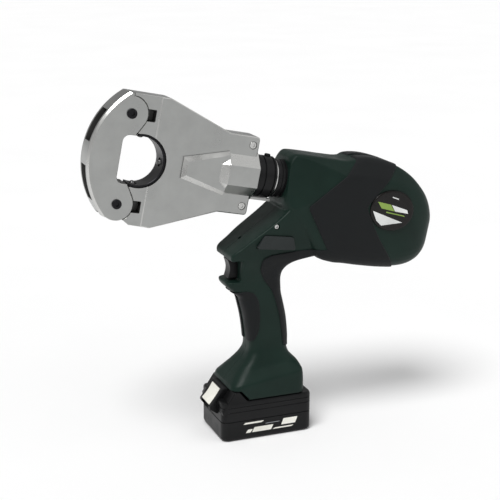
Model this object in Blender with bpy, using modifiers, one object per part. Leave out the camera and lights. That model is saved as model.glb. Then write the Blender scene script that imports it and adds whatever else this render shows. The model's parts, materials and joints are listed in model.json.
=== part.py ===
"""A cordless hydraulic crimping tool with a flip-open four-point head, in metres, +Z up.

The world origin is the middle of the battery's flat underside, and the head points toward -X.
The tool stands on its battery, and the ram axis is tilted up at the front. Everything along that axis
is given as (forward, up) in a frame of its own, the tool frame, whose origin is on the ram axis above
the battery. Its X runs rearward, so a forward distance is a negative X.
"""

import math

import bmesh
import bpy
from mathutils import Matrix, Vector

# Fits
GAP = 0.0003
RUNNING_FIT = 0.0003
LOOSE_FIT = 0.0005

# Whole tool
AXIS_TILT = math.radians(11.6)
AXIS_HEIGHT = 0.308

# Crimping head, along the ram axis
HEAD_THICKNESS = 0.031
HEAD_HALF_HEIGHT = 0.0725
HEAD_REAR = 0.008
HEAD_LUG_HALF_HEIGHT = 0.045
HEAD_LUG_FRONT = 0.046
HEAD_SHOULDER = 0.121
HEAD_FRONT = 0.2035
RIM_RADIUS = 0.093
BOSS_ACROSS_FLATS = 0.054
BOSS_FRONT = 0.044
HUB_FRONT = 0.092
HUB_NOSE_HALF_HEIGHT = 0.0075
HUB_TAIL_HALF_HEIGHT = 0.0208
HUB_HALF_WIDTH = 0.0215
HUB_CHAMFER = 0.0045
BOSS_TAPER_LENGTH = 0.007
BOSS_TAPER = 0.013

# Key that reaches back from the boss, under the collar
KEY_LOW = -0.0275
KEY_HIGH = -0.0247
KEY_HALF_WIDTH = 0.005
KEY_REAR = 0.020

# Crimp opening
CRIMP_CENTRE = 0.145
CRIMP_RADIUS = 0.027
CRIMP_FLAT = 0.168
CRIMP_CORNER = 0.008
LINER_WALL = 0.0027
LINER_HALF_WIDTH = 0.0135

# Yoke, its pins and the frame's tongues
PIN_FORWARD = 0.163
PIN_UP = 0.050
PIN_RADIUS = 0.005
HINGE_HEAD_RADIUS = 0.0056
LATCH_HEAD_RADIUS = 0.0058
PIN_HEAD_HEIGHT = 0.0016
LUG_RADIUS = 0.0185
LUG_CLEARANCE = 0.0024
LUG_TANGENT = math.radians(150)
LUG_OUTER_END = math.radians(60)
HINGE_RIM_HEIGHT = 0.065
FRAME_TIP = math.radians(120)
TONGUE_HALF_WIDTH = 0.006
TONGUE_RADIUS = 0.013
RIM_WINDOW_DEPTH = 0.012
RIM_WINDOW_HALF_WIDTH = 0.0095
RIM_WEB_HALF_HEIGHT = 0.013
RIM_WINDOW_REACH = 0.050

# Indenters and ram
INDENTER_RADIUS = 0.0048
INDENTER_TIP_RADIUS = 0.0025
INDENTER_TAPER = 0.005
INDENTER_REST = 0.024
INDENTER_LENGTH = 0.036
FRONT_INDENTER_REST = 0.022
FRONT_INDENTER_LENGTH = 0.022
REAR_INDENTER_SEAT = 0.096
PISTON_RADIUS = 0.020
PISTON_LENGTH = 0.014
PISTON_REAR = 0.0165
ROD_RADIUS = 0.008
CHAMBER_FRONT = 0.062
POCKET_REAR = 0.136
POCKET_FRONT = 0.149
POCKET_LOW = 0.044
POCKET_HIGH = 0.057
POCKET_DEPTH = 0.0125
SEAL_HALF_WIDTH = 0.0022
SEAL_DEPTH = 0.0025
LUG_SCREW_RADIUS = 0.0024

# Return spring on the ram
SPRING_WIRE = 0.0011
SPRING_RADIUS = 0.0125
SPRING_TURNS = 5

# Rotating neck
COLLAR_FRONT = 0.0075
COLLAR_REAR = -0.0185
COLLAR_RADIUS = 0.024
CAP_SPIGOT_RADIUS = 0.016
SPIGOT_RADIUS = 0.010
OIL_BORE = 0.002
SWIVEL_SEAL_PLACE = -0.008
RACE_REAR = -0.021
RACE_RADIUS = 0.0212
SLEEVE_REAR = -0.049
SLEEVE_RADIUS = 0.0222

# Housing
WALL = 0.003
SKIN = 0.0016
SECTION_CORNER_STEPS = 3
# Sections of the barrel, front to rear: forward, top, bottom, half width, corner radius
BARREL = (
    (-0.0290, 0.0270, -0.0270, 0.0270, 0.016),
    (-0.0325, 0.0310, -0.0330, 0.0310, 0.016),
    (-0.0380, 0.0330, -0.0400, 0.0335, 0.016),
    (-0.0600, 0.0335, -0.0580, 0.0350, 0.015),
    (-0.0820, 0.0335, -0.0800, 0.0360, 0.015),
    (-0.1020, 0.0340, -0.0850, 0.0365, 0.015),
    (-0.1170, 0.0390, -0.0850, 0.0370, 0.016),
    (-0.1340, 0.0405, -0.0855, 0.0370, 0.017),
    (-0.1550, 0.0385, -0.0855, 0.0370, 0.018),
    (-0.1720, 0.0345, -0.0850, 0.0365, 0.019),
    (-0.1900, 0.0265, -0.0835, 0.0355, 0.020),
    (-0.2050, 0.0160, -0.0800, 0.0330, 0.022),
    (-0.2170, 0.0040, -0.0730, 0.0290, 0.022),
    (-0.2260, -0.0090, -0.0630, 0.0220, 0.018),
    (-0.2310, -0.0230, -0.0500, 0.0130, 0.012),
)
# Sections of the handle, foot to shoulder: height, front, rear, half width, corner radius
HANDLE = (
    (0.0495, -0.0430, 0.0480, 0.0372, 0.009),
    (0.0620, -0.0435, 0.0480, 0.0370, 0.010),
    (0.0730, -0.0410, 0.0460, 0.0350, 0.012),
    (0.0840, -0.0300, 0.0410, 0.0310, 0.014),
    (0.0930, -0.0185, 0.0365, 0.0255, 0.014),
    (0.1030, -0.0140, 0.0345, 0.0210, 0.014),
    (0.1180, -0.0143, 0.0345, 0.0192, 0.014),
    (0.1390, -0.0172, 0.0325, 0.0190, 0.014),
    (0.1560, -0.0210, 0.0290, 0.0190, 0.014),
    (0.1680, -0.0248, 0.0260, 0.0190, 0.014),
    (0.1760, -0.0350, 0.0248, 0.0188, 0.012),
    (0.1830, -0.0420, 0.0245, 0.0190, 0.010),
    (0.1880, -0.0425, 0.0245, 0.0194, 0.010),
    (0.1885, -0.0270, 0.0245, 0.0194, 0.010),
    (0.1960, -0.0270, 0.0270, 0.0210, 0.010),
    (0.2040, -0.0270, 0.0380, 0.0235, 0.010),
    (0.2150, -0.0270, 0.0800, 0.0268, 0.010),
    (0.2155, -0.0400, 0.0800, 0.0268, 0.010),
    (0.2240, -0.0385, 0.0850, 0.0290, 0.009),
    (0.2320, -0.0265, 0.0880, 0.0310, 0.010),
    (0.2420, -0.0130, 0.0900, 0.0325, 0.011),
    (0.2590, 0.0120, 0.0900, 0.0335, 0.012),
    (0.2760, 0.0330, 0.0880, 0.0330, 0.012),
)
BAY_HALF_WIDTH = 0.0235
BAY_TOP = 0.0600
BAY_REAR = 0.0440
FOOT_NOTCH_REAR = -0.0255
FOOT_NOTCH_TOP = 0.0612

# Rubber on the barrel's sides and on the grip: outlines of the areas that it covers
SIDE_RUBBER = (
    (-0.100, 0.060), (-0.098, 0.018), (-0.056, -0.025), (-0.096, -0.074), (-0.118, -0.100),
    (-0.190, -0.100), (-0.176, -0.077), (-0.133, -0.020), (-0.154, 0.018), (-0.154, 0.060),
)
GRIP_RUBBER = (
    (-0.040, 0.168), (-0.010, 0.171), (0.000, 0.160), (0.004, 0.145), (0.005, 0.130),
    (0.001, 0.115), (-0.006, 0.106), (-0.040, 0.104),
)
BACK_RUBBER = (
    (0.006, 0.2190), (-0.004, 0.2120), (-0.004, 0.198), (0.004, 0.186), (0.014, 0.172), (0.019, 0.155),
    (0.024, 0.128), (0.026, 0.106), (0.060, 0.104), (0.060, 0.190), (0.0915, 0.190),
    (0.0842, 0.2036), (0.0775, 0.2162), (0.0755, 0.2200),
)
RUBBER_SIDE_CUT = 0.004

# Trigger, retract button and labels
TRIGGER_FRONT = -0.0385
TRIGGER_REAR = -0.0150
TRIGGER_LOW = 0.1905
TRIGGER_HIGH = 0.2135
TRIGGER_HALF_WIDTH = 0.0085
TRIGGER_TRAVEL = 0.007
RETRACT_OUTLINE = ((-0.0100, -0.0605), (-0.0455, -0.0585), (-0.0500, -0.0730), (-0.0040, -0.0770))
RETRACT_FACE = 0.0345
RETRACT_DEPTH = 0.008
RETRACT_TRAVEL = 0.003
LABEL_CENTRE = (-0.162, -0.0145)
LABEL_HALF_LENGTH = 0.029
LABEL_HALF_HEIGHT = 0.0245
LABEL_THICKNESS = 0.0008

# Drive train in the barrel, along the ram axis
PUMP_FRONT = -0.0525
PUMP_REAR = -0.092
PUMP_TOP = 0.021
PUMP_BOTTOM = -0.040
PUMP_HALF_WIDTH = 0.020
DRIVE_DROP = 0.020
GEARBOX_LENGTH = 0.026
GEARBOX_RADIUS = 0.021
MOTOR_LENGTH = 0.072
MOTOR_RADIUS = 0.0245
MOTOR_WALL = 0.0025
ROTOR_RADIUS = 0.017
SHAFT_RADIUS = 0.003
ECCENTRIC_RADIUS = 0.007
ECCENTRIC_OFFSET = 0.0015
PLUNGER_RADIUS = 0.004
RESERVOIR_LENGTH = 0.036
RESERVOIR_HEIGHT = 0.026
RESERVOIR_HALF_WIDTH = 0.021

# Battery
BATTERY_LENGTH = 0.113
BATTERY_WIDTH = 0.075
BATTERY_SPLIT = 0.024
BATTERY_TOP = 0.0485
BATTERY_WALL = 0.0025
BLOCK_TOP = 0.0605
BLOCK_REAR = -0.0259
SHOULDER_LOW = (-0.0565, 0.0375)
SHOULDER_HIGH = (-0.0415, 0.0595)
SLOPE_LOW = (-0.0655, 0.0385)
SLOPE_HIGH = (-0.0495, 0.0600)
NOSE_HALF_WIDTH = 0.0185
NOSE_UNDERSIDE = 0.0290
BUTTON_LENGTH = 0.0225
BUTTON_HALF_WIDTH = 0.0122
BUTTON_THICKNESS = 0.0045
BUTTON_PROUD = 0.0012
BUTTON_TRAVEL = 0.003
RAIL_FRONT = -0.022
RAIL_REAR = 0.034
RAIL_HALF_WIDTH = 0.020
RAIL_TOP = 0.057
BLADE_PLACES = (-0.010, 0.0, 0.010)
CORNERS = ((1, 1), (-1, 1), (-1, -1), (1, -1))
CELL_RADIUS = 0.009
CELL_PITCH = 0.0198
CELL_LENGTH = 0.0665

# Housing screws: (x, z, half width of the housing there, side of the head)
SCREW_RADIUS = 0.0016
SCREW_HEAD_RADIUS = 0.0034
SCREW_HEAD_DEPTH = 0.0022
SCREW_SINK = 0.0015
SCREW_REACH = 0.012
BOSS_RADIUS = 0.0045


def tool_point(forward, up):
    """World (x, z) of a point of the tool frame."""
    x = -forward * math.cos(AXIS_TILT) + up * math.sin(AXIS_TILT)
    z = AXIS_HEIGHT + forward * math.sin(AXIS_TILT) + up * math.cos(AXIS_TILT)
    return x, z


SCREWS = (
    (*tool_point(-0.023, -0.051), 0.0330, -1),
    (*tool_point(-0.108, 0.0245), 0.0345, 1),
    (*tool_point(-0.150, -0.0680), 0.0365, 1),
    (*tool_point(-0.206, -0.0300), 0.0325, 1),
    (0.0080, 0.1280, 0.0190, 1),
    (0.0380, 0.0720, 0.0345, 1),
)

for stale in list(bpy.data.objects):
    bpy.data.objects.remove(stale, do_unlink=True)


def new_collection(name):
    collection = bpy.data.collections.new(name)
    bpy.context.scene.collection.children.link(collection)
    return collection


PARTS = new_collection("hydraulic_crimping_tool")
CUTTERS = new_collection("cutters")


def make_material(name, colour, roughness, metallic=0.0):
    material = bpy.data.materials.new(name)
    material.use_nodes = True
    shader = material.node_tree.nodes["Principled BSDF"]
    shader.inputs["Base Color"].default_value = (*colour, 1.0)
    shader.inputs["Roughness"].default_value = roughness
    shader.inputs["Metallic"].default_value = metallic
    return material


LOOKS = {
    "cast_aluminium": make_material("cast_aluminium", (0.38, 0.39, 0.39), 0.42, 0.9),
    "dark_steel": make_material("dark_steel", (0.04, 0.04, 0.045), 0.45, 0.8),
    "bright_steel": make_material("bright_steel", (0.55, 0.55, 0.55), 0.25, 1.0),
    "green_plastic": make_material("green_plastic", (0.014, 0.034, 0.024), 0.5),
    "black_rubber": make_material("black_rubber", (0.012, 0.013, 0.015), 0.8),
    "black_plastic": make_material("black_plastic", (0.010, 0.010, 0.011), 0.45),
    "grey_plastic": make_material("grey_plastic", (0.055, 0.058, 0.062), 0.55),
    "pale_plastic": make_material("pale_plastic", (0.62, 0.60, 0.55), 0.5),
    "label_film": make_material("label_film", (0.02, 0.02, 0.02), 0.35),
    "copper": make_material("copper", (0.70, 0.30, 0.15), 0.35, 1.0),
    "circuit_board": make_material("circuit_board", (0.02, 0.12, 0.05), 0.5),
    "brass": make_material("brass", (0.60, 0.45, 0.18), 0.35, 1.0),
}


# Frames that the moving pieces hang from, each on its joint's axis


def make_empty(name, location, parent=None):
    empty = bpy.data.objects.new(name, None)
    empty.location = location
    empty.parent = parent
    empty.empty_display_size = 0.01
    PARTS.objects.link(empty)
    return empty


class Pivot:
    """An empty on a joint's axis, and where it is in the frame that its pieces are drawn in."""

    def __init__(self, name, place=(0, 0, 0), within=None):
        self.place = Vector(place)
        start = self.place - within.place if within else self.place
        self.empty = make_empty(name, start, within.empty if within else None)


WORLD = Pivot("base")
TOOL = Pivot("tool_frame", (0, 0, 0))
TOOL.empty.location = (0, 0, AXIS_HEIGHT)
TOOL.empty.rotation_euler = (0, AXIS_TILT, 0)
HEAD = Pivot("head_swivel", (0, 0, 0), TOOL)
YOKE = Pivot("yoke_hinge", (-PIN_FORWARD, 0, -PIN_UP), HEAD)
LATCH = Pivot("latch_pin_slide", (-PIN_FORWARD, 0, PIN_UP), YOKE)
RAM = Pivot("ram_slide", (0, 0, 0), HEAD)
UPPER_INDENTER = Pivot("upper_indenter_slide", (-CRIMP_CENTRE, 0, 0), HEAD)
LOWER_INDENTER = Pivot("lower_indenter_slide", (-CRIMP_CENTRE, 0, 0), HEAD)
FRONT_INDENTER = Pivot("front_indenter_slide", (-CRIMP_CENTRE, 0, 0), YOKE)
DRIVE = Pivot("drive_axis", (0, 0, -DRIVE_DROP), TOOL)
TRIGGER = Pivot("trigger_slide", (TRIGGER_REAR, 0, (TRIGGER_LOW + TRIGGER_HIGH) / 2))
BATTERY = Pivot("battery_slide")


# Modelling helpers


def add(name, mesh, look, pivot=WORLD):
    """Makes an object of a mesh that is drawn in the pivot's frame."""
    piece = bpy.data.objects.new(name, mesh)
    piece.parent = pivot.empty
    piece.location = -pivot.place
    PARTS.objects.link(piece)
    mesh.materials.append(LOOKS[look])
    return piece


def mesh_of(name, shape):
    """A mesh data block of a bmesh, with its faces pointing out."""
    bmesh.ops.recalc_face_normals(shape, faces=shape.faces)
    mesh = bpy.data.meshes.new(name)
    shape.to_mesh(mesh)
    shape.free()
    return mesh


def smooth(piece, angle=math.radians(35)):
    piece.data.shade_smooth()
    piece.data.set_sharp_from_angle(angle=angle)
    return piece


def block(name, low, high, look, pivot=WORLD, bevel=0.0):
    shape = bmesh.new()
    bmesh.ops.create_cube(shape, size=1)
    size = Vector(high) - Vector(low)
    bmesh.ops.scale(shape, vec=size, verts=shape.verts)
    bmesh.ops.translate(shape, vec=(Vector(low) + Vector(high)) / 2, verts=shape.verts)
    piece = add(name, mesh_of(name, shape), look, pivot)
    if bevel:
        round_edges(piece, bevel)
    return piece


def round_edges(piece, width, segments=2):
    modifier = piece.modifiers.new("rounded edges", "BEVEL")
    modifier.width = width
    modifier.segments = segments
    modifier.limit_method = "ANGLE"


def rod(name, start, end, radius, look, pivot=WORLD, end_radius=None, sides=16):
    """A round bar from one point to another, tapered if it's given an end radius."""
    start = Vector(start)
    end = Vector(end)
    shape = bmesh.new()
    bmesh.ops.create_cone(
        shape,
        cap_ends=True,
        segments=sides,
        radius1=radius,
        radius2=radius if end_radius is None else end_radius,
        depth=(end - start).length,
    )
    turn = (end - start).to_track_quat("Z", "Y").to_matrix().to_4x4()
    bmesh.ops.transform(shape, matrix=Matrix.Translation((start + end) / 2) @ turn, verts=shape.verts)
    return smooth(add(name, mesh_of(name, shape), look, pivot))


def cross_rod(name, place, radius, low, high, look, pivot, sides=20):
    """A round bar across the tool, along Y, at a (forward, up) place of the tool frame."""
    forward, up = place
    return rod(name, (-forward, low, up), (-forward, high, up), radius, look, pivot, sides=sides)


def turned(name, profile, look, pivot, steps=24, centre_up=0.0):
    """A turned piece on the ram axis. The profile is (forward, radius) points, front to rear down the
    outer side, and closed back up the bore where it has one."""
    mesh = bpy.data.meshes.new(name)
    count = len(profile)
    hollow = profile[0][1] > 0
    edges = [(i, i + 1) for i in range(count - 1)]
    if hollow:
        edges.append((count - 1, 0))
    mesh.from_pydata([(radius, 0, forward) for forward, radius in profile], edges, [])
    piece = add(name, mesh, look, pivot)
    piece.location.z += centre_up
    piece.rotation_euler = (0, -math.pi / 2, 0)
    screw = piece.modifiers.new("turned", "SCREW")
    screw.axis = "Z"
    screw.steps = steps
    screw.render_steps = steps
    screw.use_merge_vertices = True
    screw.merge_threshold = 0.00001
    screw.use_smooth_shade = True
    return piece


def extruded(name, loops, low, high, look, pivot=WORLD):
    """Flat outlines in XZ, with any inner loop a hole, extruded along Y from low to high."""
    curve = bpy.data.curves.new(name, "CURVE")
    curve.dimensions = "2D"
    curve.fill_mode = "BOTH"
    curve.extrude = (high - low) / 2
    for loop in loops:
        spline = curve.splines.new("POLY")
        spline.points.add(len(loop) - 1)
        spline.use_cyclic_u = True
        for point, (x, z) in zip(spline.points, loop):
            point.co = (x, z, 0, 1)
    drawn = bpy.data.objects.new(name, curve)
    CUTTERS.objects.link(drawn)
    graph = bpy.context.evaluated_depsgraph_get()
    flat = bpy.data.meshes.new_from_object(drawn.evaluated_get(graph))
    bpy.data.objects.remove(drawn)
    shape = bmesh.new()
    shape.from_mesh(flat)
    bmesh.ops.remove_doubles(shape, verts=shape.verts, dist=0.000001)
    bmesh.ops.dissolve_limit(shape, angle_limit=0.01, verts=shape.verts, edges=shape.edges)
    upright = Matrix.Translation((0, (low + high) / 2, 0)) @ Matrix.Rotation(math.pi / 2, 4, "X")
    bmesh.ops.transform(shape, matrix=upright, verts=shape.verts)
    return smooth(add(name, mesh_of(name, shape), look, pivot))


def loft(name, sections, look, pivot=WORLD):
    """A closed skin over sections that have the same number of points."""
    shape = bmesh.new()
    rings = [[shape.verts.new(point) for point in section] for section in sections]
    for ring, following in zip(rings, rings[1:]):
        count = len(ring)
        for i in range(count):
            j = (i + 1) % count
            shape.faces.new((ring[i], ring[j], following[j], following[i]))
    shape.faces.new(rings[0])
    shape.faces.new(rings[-1])
    return smooth(add(name, mesh_of(name, shape), look, pivot))


def boolean(piece, other, operation):
    modifier = piece.modifiers.new(f"{operation.lower()} {other.name}", "BOOLEAN")
    modifier.operation = operation
    modifier.solver = "EXACT"
    modifier.object = other
    if other.name in PARTS.objects:
        PARTS.objects.unlink(other)
        CUTTERS.objects.link(other)
    other.hide_render = True
    other.display_type = "WIRE"


def cut(piece, *cutters):
    for cutter in cutters:
        boolean(piece, cutter, "DIFFERENCE")


def join(piece, *others):
    for other in others:
        boolean(piece, other, "UNION")


def keep_inside(piece, limit):
    boolean(piece, limit, "INTERSECT")


def tool_outline(points):
    """(forward, up) points as (x, z) of the tool frame."""
    return [(-forward, up) for forward, up in points]


def mirrored(points):
    """The points with up and down exchanged, in reverse order."""
    return [(forward, -up) for forward, up in reversed(points)]


def arc(centre, radius, start, end, steps):
    """Points of an arc about a (forward, up) centre."""
    return [
        (
            centre[0] + radius * math.cos(start + (end - start) * i / steps),
            centre[1] + radius * math.sin(start + (end - start) * i / steps),
        )
        for i in range(steps + 1)
    ]


def rounded_rectangle(a_low, a_high, b_low, b_high, radius, steps=SECTION_CORNER_STEPS):
    """Points of a rectangle with round corners, its radius limited by its sides."""
    radius = min(radius, 0.49 * (a_high - a_low), 0.49 * (b_high - b_low))
    corners = (
        (a_high - radius, b_high - radius, 0),
        (a_low + radius, b_high - radius, 1),
        (a_low + radius, b_low + radius, 2),
        (a_high - radius, b_low + radius, 3),
    )
    points = []
    for a, b, quarter in corners:
        start = quarter * math.pi / 2
        points += arc((a, b), radius, start, start + math.pi / 2, steps)
    return points


# Crimping head

UPPER_PIN = (PIN_FORWARD, PIN_UP)
LOWER_PIN = (PIN_FORWARD, -PIN_UP)
HALF_HEAD = HEAD_THICKNESS / 2
RIM_CENTRE = HEAD_FRONT - RIM_RADIUS
BORE_RADIUS = CRIMP_RADIUS + LINER_WALL + GAP


def tangent_at(radius, up):
    """Where the straight edge that leaves the upper lug tangentially reaches a height."""
    start = arc(UPPER_PIN, radius, -LUG_TANGENT, -LUG_TANGENT, 1)[0]
    slope = math.tan(math.pi / 2 - LUG_TANGENT)
    return start[0] + (up - start[1]) / slope, up


def half_of_yoke(lug_end, rim_height):
    """Half of the yoke's outline, from the crimp opening round the lug to the rim."""
    opening = arc(
        (CRIMP_FLAT - CRIMP_CORNER, CRIMP_RADIUS - CRIMP_CORNER), CRIMP_CORNER, 0, math.pi / 2, 3
    )
    lug = arc(UPPER_PIN, LUG_RADIUS, 2 * math.pi - LUG_TANGENT, lug_end, 12)
    if rim_height == HEAD_HALF_HEIGHT:
        lug.append((PIN_FORWARD + GAP, HEAD_HALF_HEIGHT))
    rim = arc((RIM_CENTRE, 0), RIM_RADIUS, math.asin(rim_height / RIM_RADIUS), 0, 8)
    return opening + [tangent_at(LUG_RADIUS, CRIMP_RADIUS)] + lug + rim


def yoke_outline():
    """The yoke meets the frame's upper side in a corner, and its lower side is round about the hinge."""
    upper = half_of_yoke(math.pi / 2, HEAD_HALF_HEIGHT)
    lower = half_of_yoke(LUG_OUTER_END, HINGE_RIM_HEIGHT)
    return upper + mirrored(lower)[1:]


def half_of_frame(top, recess_start):
    """Half of the frame's outline, from its rear to the crimp opening."""
    recess = arc(
        UPPER_PIN, LUG_RADIUS + LUG_CLEARANCE, recess_start, 2 * math.pi - LUG_TANGENT, 8
    )
    meeting = tangent_at(LUG_RADIUS + LOOSE_FIT, BORE_RADIUS)
    return [
        (HEAD_REAR + 0.002, 0.027),
        (HEAD_REAR + 0.002, HEAD_LUG_HALF_HEIGHT),
        (HEAD_LUG_FRONT, HEAD_LUG_HALF_HEIGHT),
        (HEAD_SHOULDER, HEAD_HALF_HEIGHT),
        top,
        *recess,
        meeting,
        (CRIMP_CENTRE, BORE_RADIUS - 0.002),
    ]


def frame_outline():
    """The frame's upper side reaches over the lug, and its lower side stops short of the hinge."""
    upper = half_of_frame((PIN_FORWARD, HEAD_HALF_HEIGHT), math.pi / 2)
    lower = half_of_frame((CRIMP_CENTRE + 0.001, HEAD_HALF_HEIGHT - 0.001), FRAME_TIP)
    return upper + mirrored(lower)


def octagon(forward, across_flats):
    radius = across_flats / 2 / math.cos(math.pi / 8)
    return [
        (-forward, radius * math.cos((i + 0.5) * math.pi / 4), radius * math.sin((i + 0.5) * math.pi / 4))
        for i in range(8)
    ]


def hub_section(width, grow):
    """The hub's outline at a distance from the middle plane: narrow at the front, wide at the rear."""
    front = HUB_FRONT + grow
    nose = HUB_NOSE_HALF_HEIGHT + grow
    tail = HUB_TAIL_HALF_HEIGHT + grow
    return [
        (-front, width, nose),
        (-BOSS_FRONT, width, tail),
        (-BOSS_FRONT, width, -tail),
        (-front, width, -nose),
    ]


def make_head_frame():
    frame = extruded(
        "head_frame", [tool_outline(frame_outline())], -HALF_HEAD, HALF_HEAD, "cast_aluminium", HEAD
    )
    boss = loft(
        "boss_form",
        [
            octagon(HEAD_REAR, BOSS_ACROSS_FLATS),
            octagon(BOSS_FRONT, BOSS_ACROSS_FLATS),
            octagon(BOSS_FRONT + BOSS_TAPER_LENGTH, BOSS_ACROSS_FLATS - BOSS_TAPER),
        ],
        "cast_aluminium",
        HEAD,
    )
    hub = loft(
        "hub_form",
        [
            hub_section(-HUB_HALF_WIDTH, 0),
            hub_section(-HUB_HALF_WIDTH + HUB_CHAMFER, HUB_CHAMFER),
            hub_section(HUB_HALF_WIDTH - HUB_CHAMFER, HUB_CHAMFER),
            hub_section(HUB_HALF_WIDTH, 0),
        ],
        "cast_aluminium",
        HEAD,
    )
    key = block(
        "collar_key_form", (-BOSS_FRONT, -KEY_HALF_WIDTH, KEY_LOW), (KEY_REAR, KEY_HALF_WIDTH, KEY_HIGH),
        "cast_aluminium", HEAD,
    )
    join(frame, boss, hub, key)
    for side, pin in (("upper", UPPER_PIN), ("lower", LOWER_PIN)):
        join(frame, make_tongue(side, pin))
    cut(frame, *head_frame_cutters())
    return frame


def make_tongue(side, pin):
    """The flat tongue that reaches from the frame round a pin."""
    sign = 1 if pin[1] > 0 else -1
    start = math.pi / 2 * sign
    nose = arc(pin, TONGUE_RADIUS, start, -start, 10)
    rear = CRIMP_CENTRE - 0.007
    outline = [(rear, nose[0][1]), *nose, (rear, nose[-1][1])]
    return extruded(
        f"{side}_tongue_form", [tool_outline(outline)], -TONGUE_HALF_WIDTH, TONGUE_HALF_WIDTH,
        "cast_aluminium", HEAD,
    )


def head_frame_cutters():
    fit = RUNNING_FIT
    bore = INDENTER_RADIUS + fit
    cutters = [
        cross_rod("crimp_bore", (CRIMP_CENTRE, 0), BORE_RADIUS, -0.03, 0.03, "cast_aluminium", HEAD, 40),
        rod(
            "piston_bore", (0.01, 0, 0), (-CHAMBER_FRONT, 0, 0), PISTON_RADIUS + fit,
            "cast_aluminium", HEAD, sides=24,
        ),
        rod("rod_bore", (-0.05, 0, 0), (-0.1145, 0, 0), ROD_RADIUS + fit, "cast_aluminium", HEAD),
        rod("rear_indenter_bore", (-0.1, 0, 0), (-0.13, 0, 0), bore, "cast_aluminium", HEAD),
        cross_rod("lower_pin_bore", LOWER_PIN, PIN_RADIUS + fit, -0.03, 0.03, "cast_aluminium", HEAD),
    ]
    reach = INDENTER_REST + INDENTER_LENGTH + 0.0035
    for side, sign in (("upper", 1), ("lower", -1)):
        cutters.append(
            rod(
                f"{side}_indenter_bore", (-CRIMP_CENTRE, 0, 0), (-CRIMP_CENTRE, 0, sign * reach),
                bore, "cast_aluminium", HEAD,
            )
        )
        heights = sorted((sign * POCKET_LOW, sign * POCKET_HIGH))
        for face in (-1, 1):
            depths = sorted((face * (HALF_HEAD - POCKET_DEPTH), face * (HALF_HEAD + 0.01)))
            cutters.append(
                block(
                    f"{side}_pocket_{'left' if face < 0 else 'right'}",
                    (-POCKET_FRONT, depths[0], heights[0]),
                    (-POCKET_REAR, depths[1], heights[1]),
                    "cast_aluminium",
                    HEAD,
                )
            )
        cutters.append(
            cross_rod(
                f"{side}_lug_screw_bore", lug_screw_place(sign), LUG_SCREW_RADIUS + fit, -0.03, 0.03,
                "cast_aluminium", HEAD,
            )
        )
    low = PIN_RADIUS + LOOSE_FIT
    notch = arc(UPPER_PIN, low, math.pi / 2, 3 * math.pi / 2, 10)
    notch += [(PIN_FORWARD + 0.03, PIN_UP - low - 0.0035), (PIN_FORWARD + 0.03, PIN_UP + low)]
    cutters.append(
        extruded("latch_notch", [tool_outline(notch)], -0.03, 0.03, "cast_aluminium", HEAD)
    )
    return cutters




def lug_screw_place(sign):
    return HEAD_REAR + 0.0095, sign * (HEAD_LUG_HALF_HEIGHT - 0.010)


def make_lug_screws():
    for side, sign in (("upper", 1), ("lower", -1)):
        end = HALF_HEAD + 0.0006
        screw = cross_rod(
            f"{side}_lug_screw", lug_screw_place(sign), LUG_SCREW_RADIUS, -end, end, "bright_steel", HEAD
        )
        socket = cross_rod(
            f"{side}_lug_screw_socket", lug_screw_place(sign), 0.0012, -end - 0.002, -end + 0.0015,
            "bright_steel", HEAD, 6,
        )
        cut(screw, socket)


def make_crimp_liner():
    """The steel liner of the crimp opening's frame side, with a bore for each indenter."""
    outer = CRIMP_RADIUS + LINER_WALL
    start = math.radians(76)
    end = 2 * math.pi - start
    outline = arc((CRIMP_CENTRE, 0), outer, start, end, 24)
    outline += arc((CRIMP_CENTRE, 0), CRIMP_RADIUS, end, start, 24)
    liner = extruded(
        "crimp_liner", [tool_outline(outline)], -LINER_HALF_WIDTH, LINER_HALF_WIDTH, "dark_steel", HEAD
    )
    bore = INDENTER_RADIUS + RUNNING_FIT
    for name, direction in (("upper", (0, 0, 1)), ("lower", (0, 0, -1)), ("rear", (1, 0, 0))):
        start_point = Vector((-CRIMP_CENTRE, 0, 0))
        cut(
            liner,
            rod(
                f"liner_{name}_bore", start_point, start_point + 0.04 * Vector(direction), bore,
                "dark_steel", HEAD,
            ),
        )
    return liner


def make_indenter(name, direction, rest, length, pivot):
    """A round punch with a tapered tip that points at the middle of the crimp opening."""
    centre = Vector((-CRIMP_CENTRE, 0, 0))
    away = Vector(direction)
    shank_start = centre + (rest + INDENTER_TAPER) * away
    punch = rod(name, shank_start, centre + (rest + length) * away, INDENTER_RADIUS, "bright_steel", pivot)
    tip = rod(
        f"{name}_tip_form", centre + rest * away, shank_start + 0.001 * away, INDENTER_TIP_RADIUS,
        "bright_steel", pivot, end_radius=INDENTER_RADIUS - 0.0001,
    )
    join(punch, tip)
    return punch


def make_ram():
    """Piston and rod in one turned piece, with a seal groove."""
    front = PISTON_REAR + PISTON_LENGTH
    groove = PISTON_REAR + PISTON_LENGTH / 2
    profile = [
        (REAR_INDENTER_SEAT, 0),
        (REAR_INDENTER_SEAT, ROD_RADIUS),
        (front, ROD_RADIUS),
        (front, PISTON_RADIUS),
        (groove + SEAL_HALF_WIDTH, PISTON_RADIUS),
        (groove + SEAL_HALF_WIDTH, PISTON_RADIUS - SEAL_DEPTH),
        (groove - SEAL_HALF_WIDTH, PISTON_RADIUS - SEAL_DEPTH),
        (groove - SEAL_HALF_WIDTH, PISTON_RADIUS),
        (PISTON_REAR, PISTON_RADIUS),
        (PISTON_REAR, 0),
    ]
    turned("ram_piston", profile, "bright_steel", RAM)
    inner = PISTON_RADIUS - SEAL_DEPTH + GAP
    outer = PISTON_RADIUS + 0.00005
    width = SEAL_HALF_WIDTH - GAP
    turned(
        "piston_seal",
        [(groove + width, inner), (groove + width, outer), (groove - width, outer), (groove - width, inner)],
        "black_rubber",
        RAM,
    )




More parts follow.
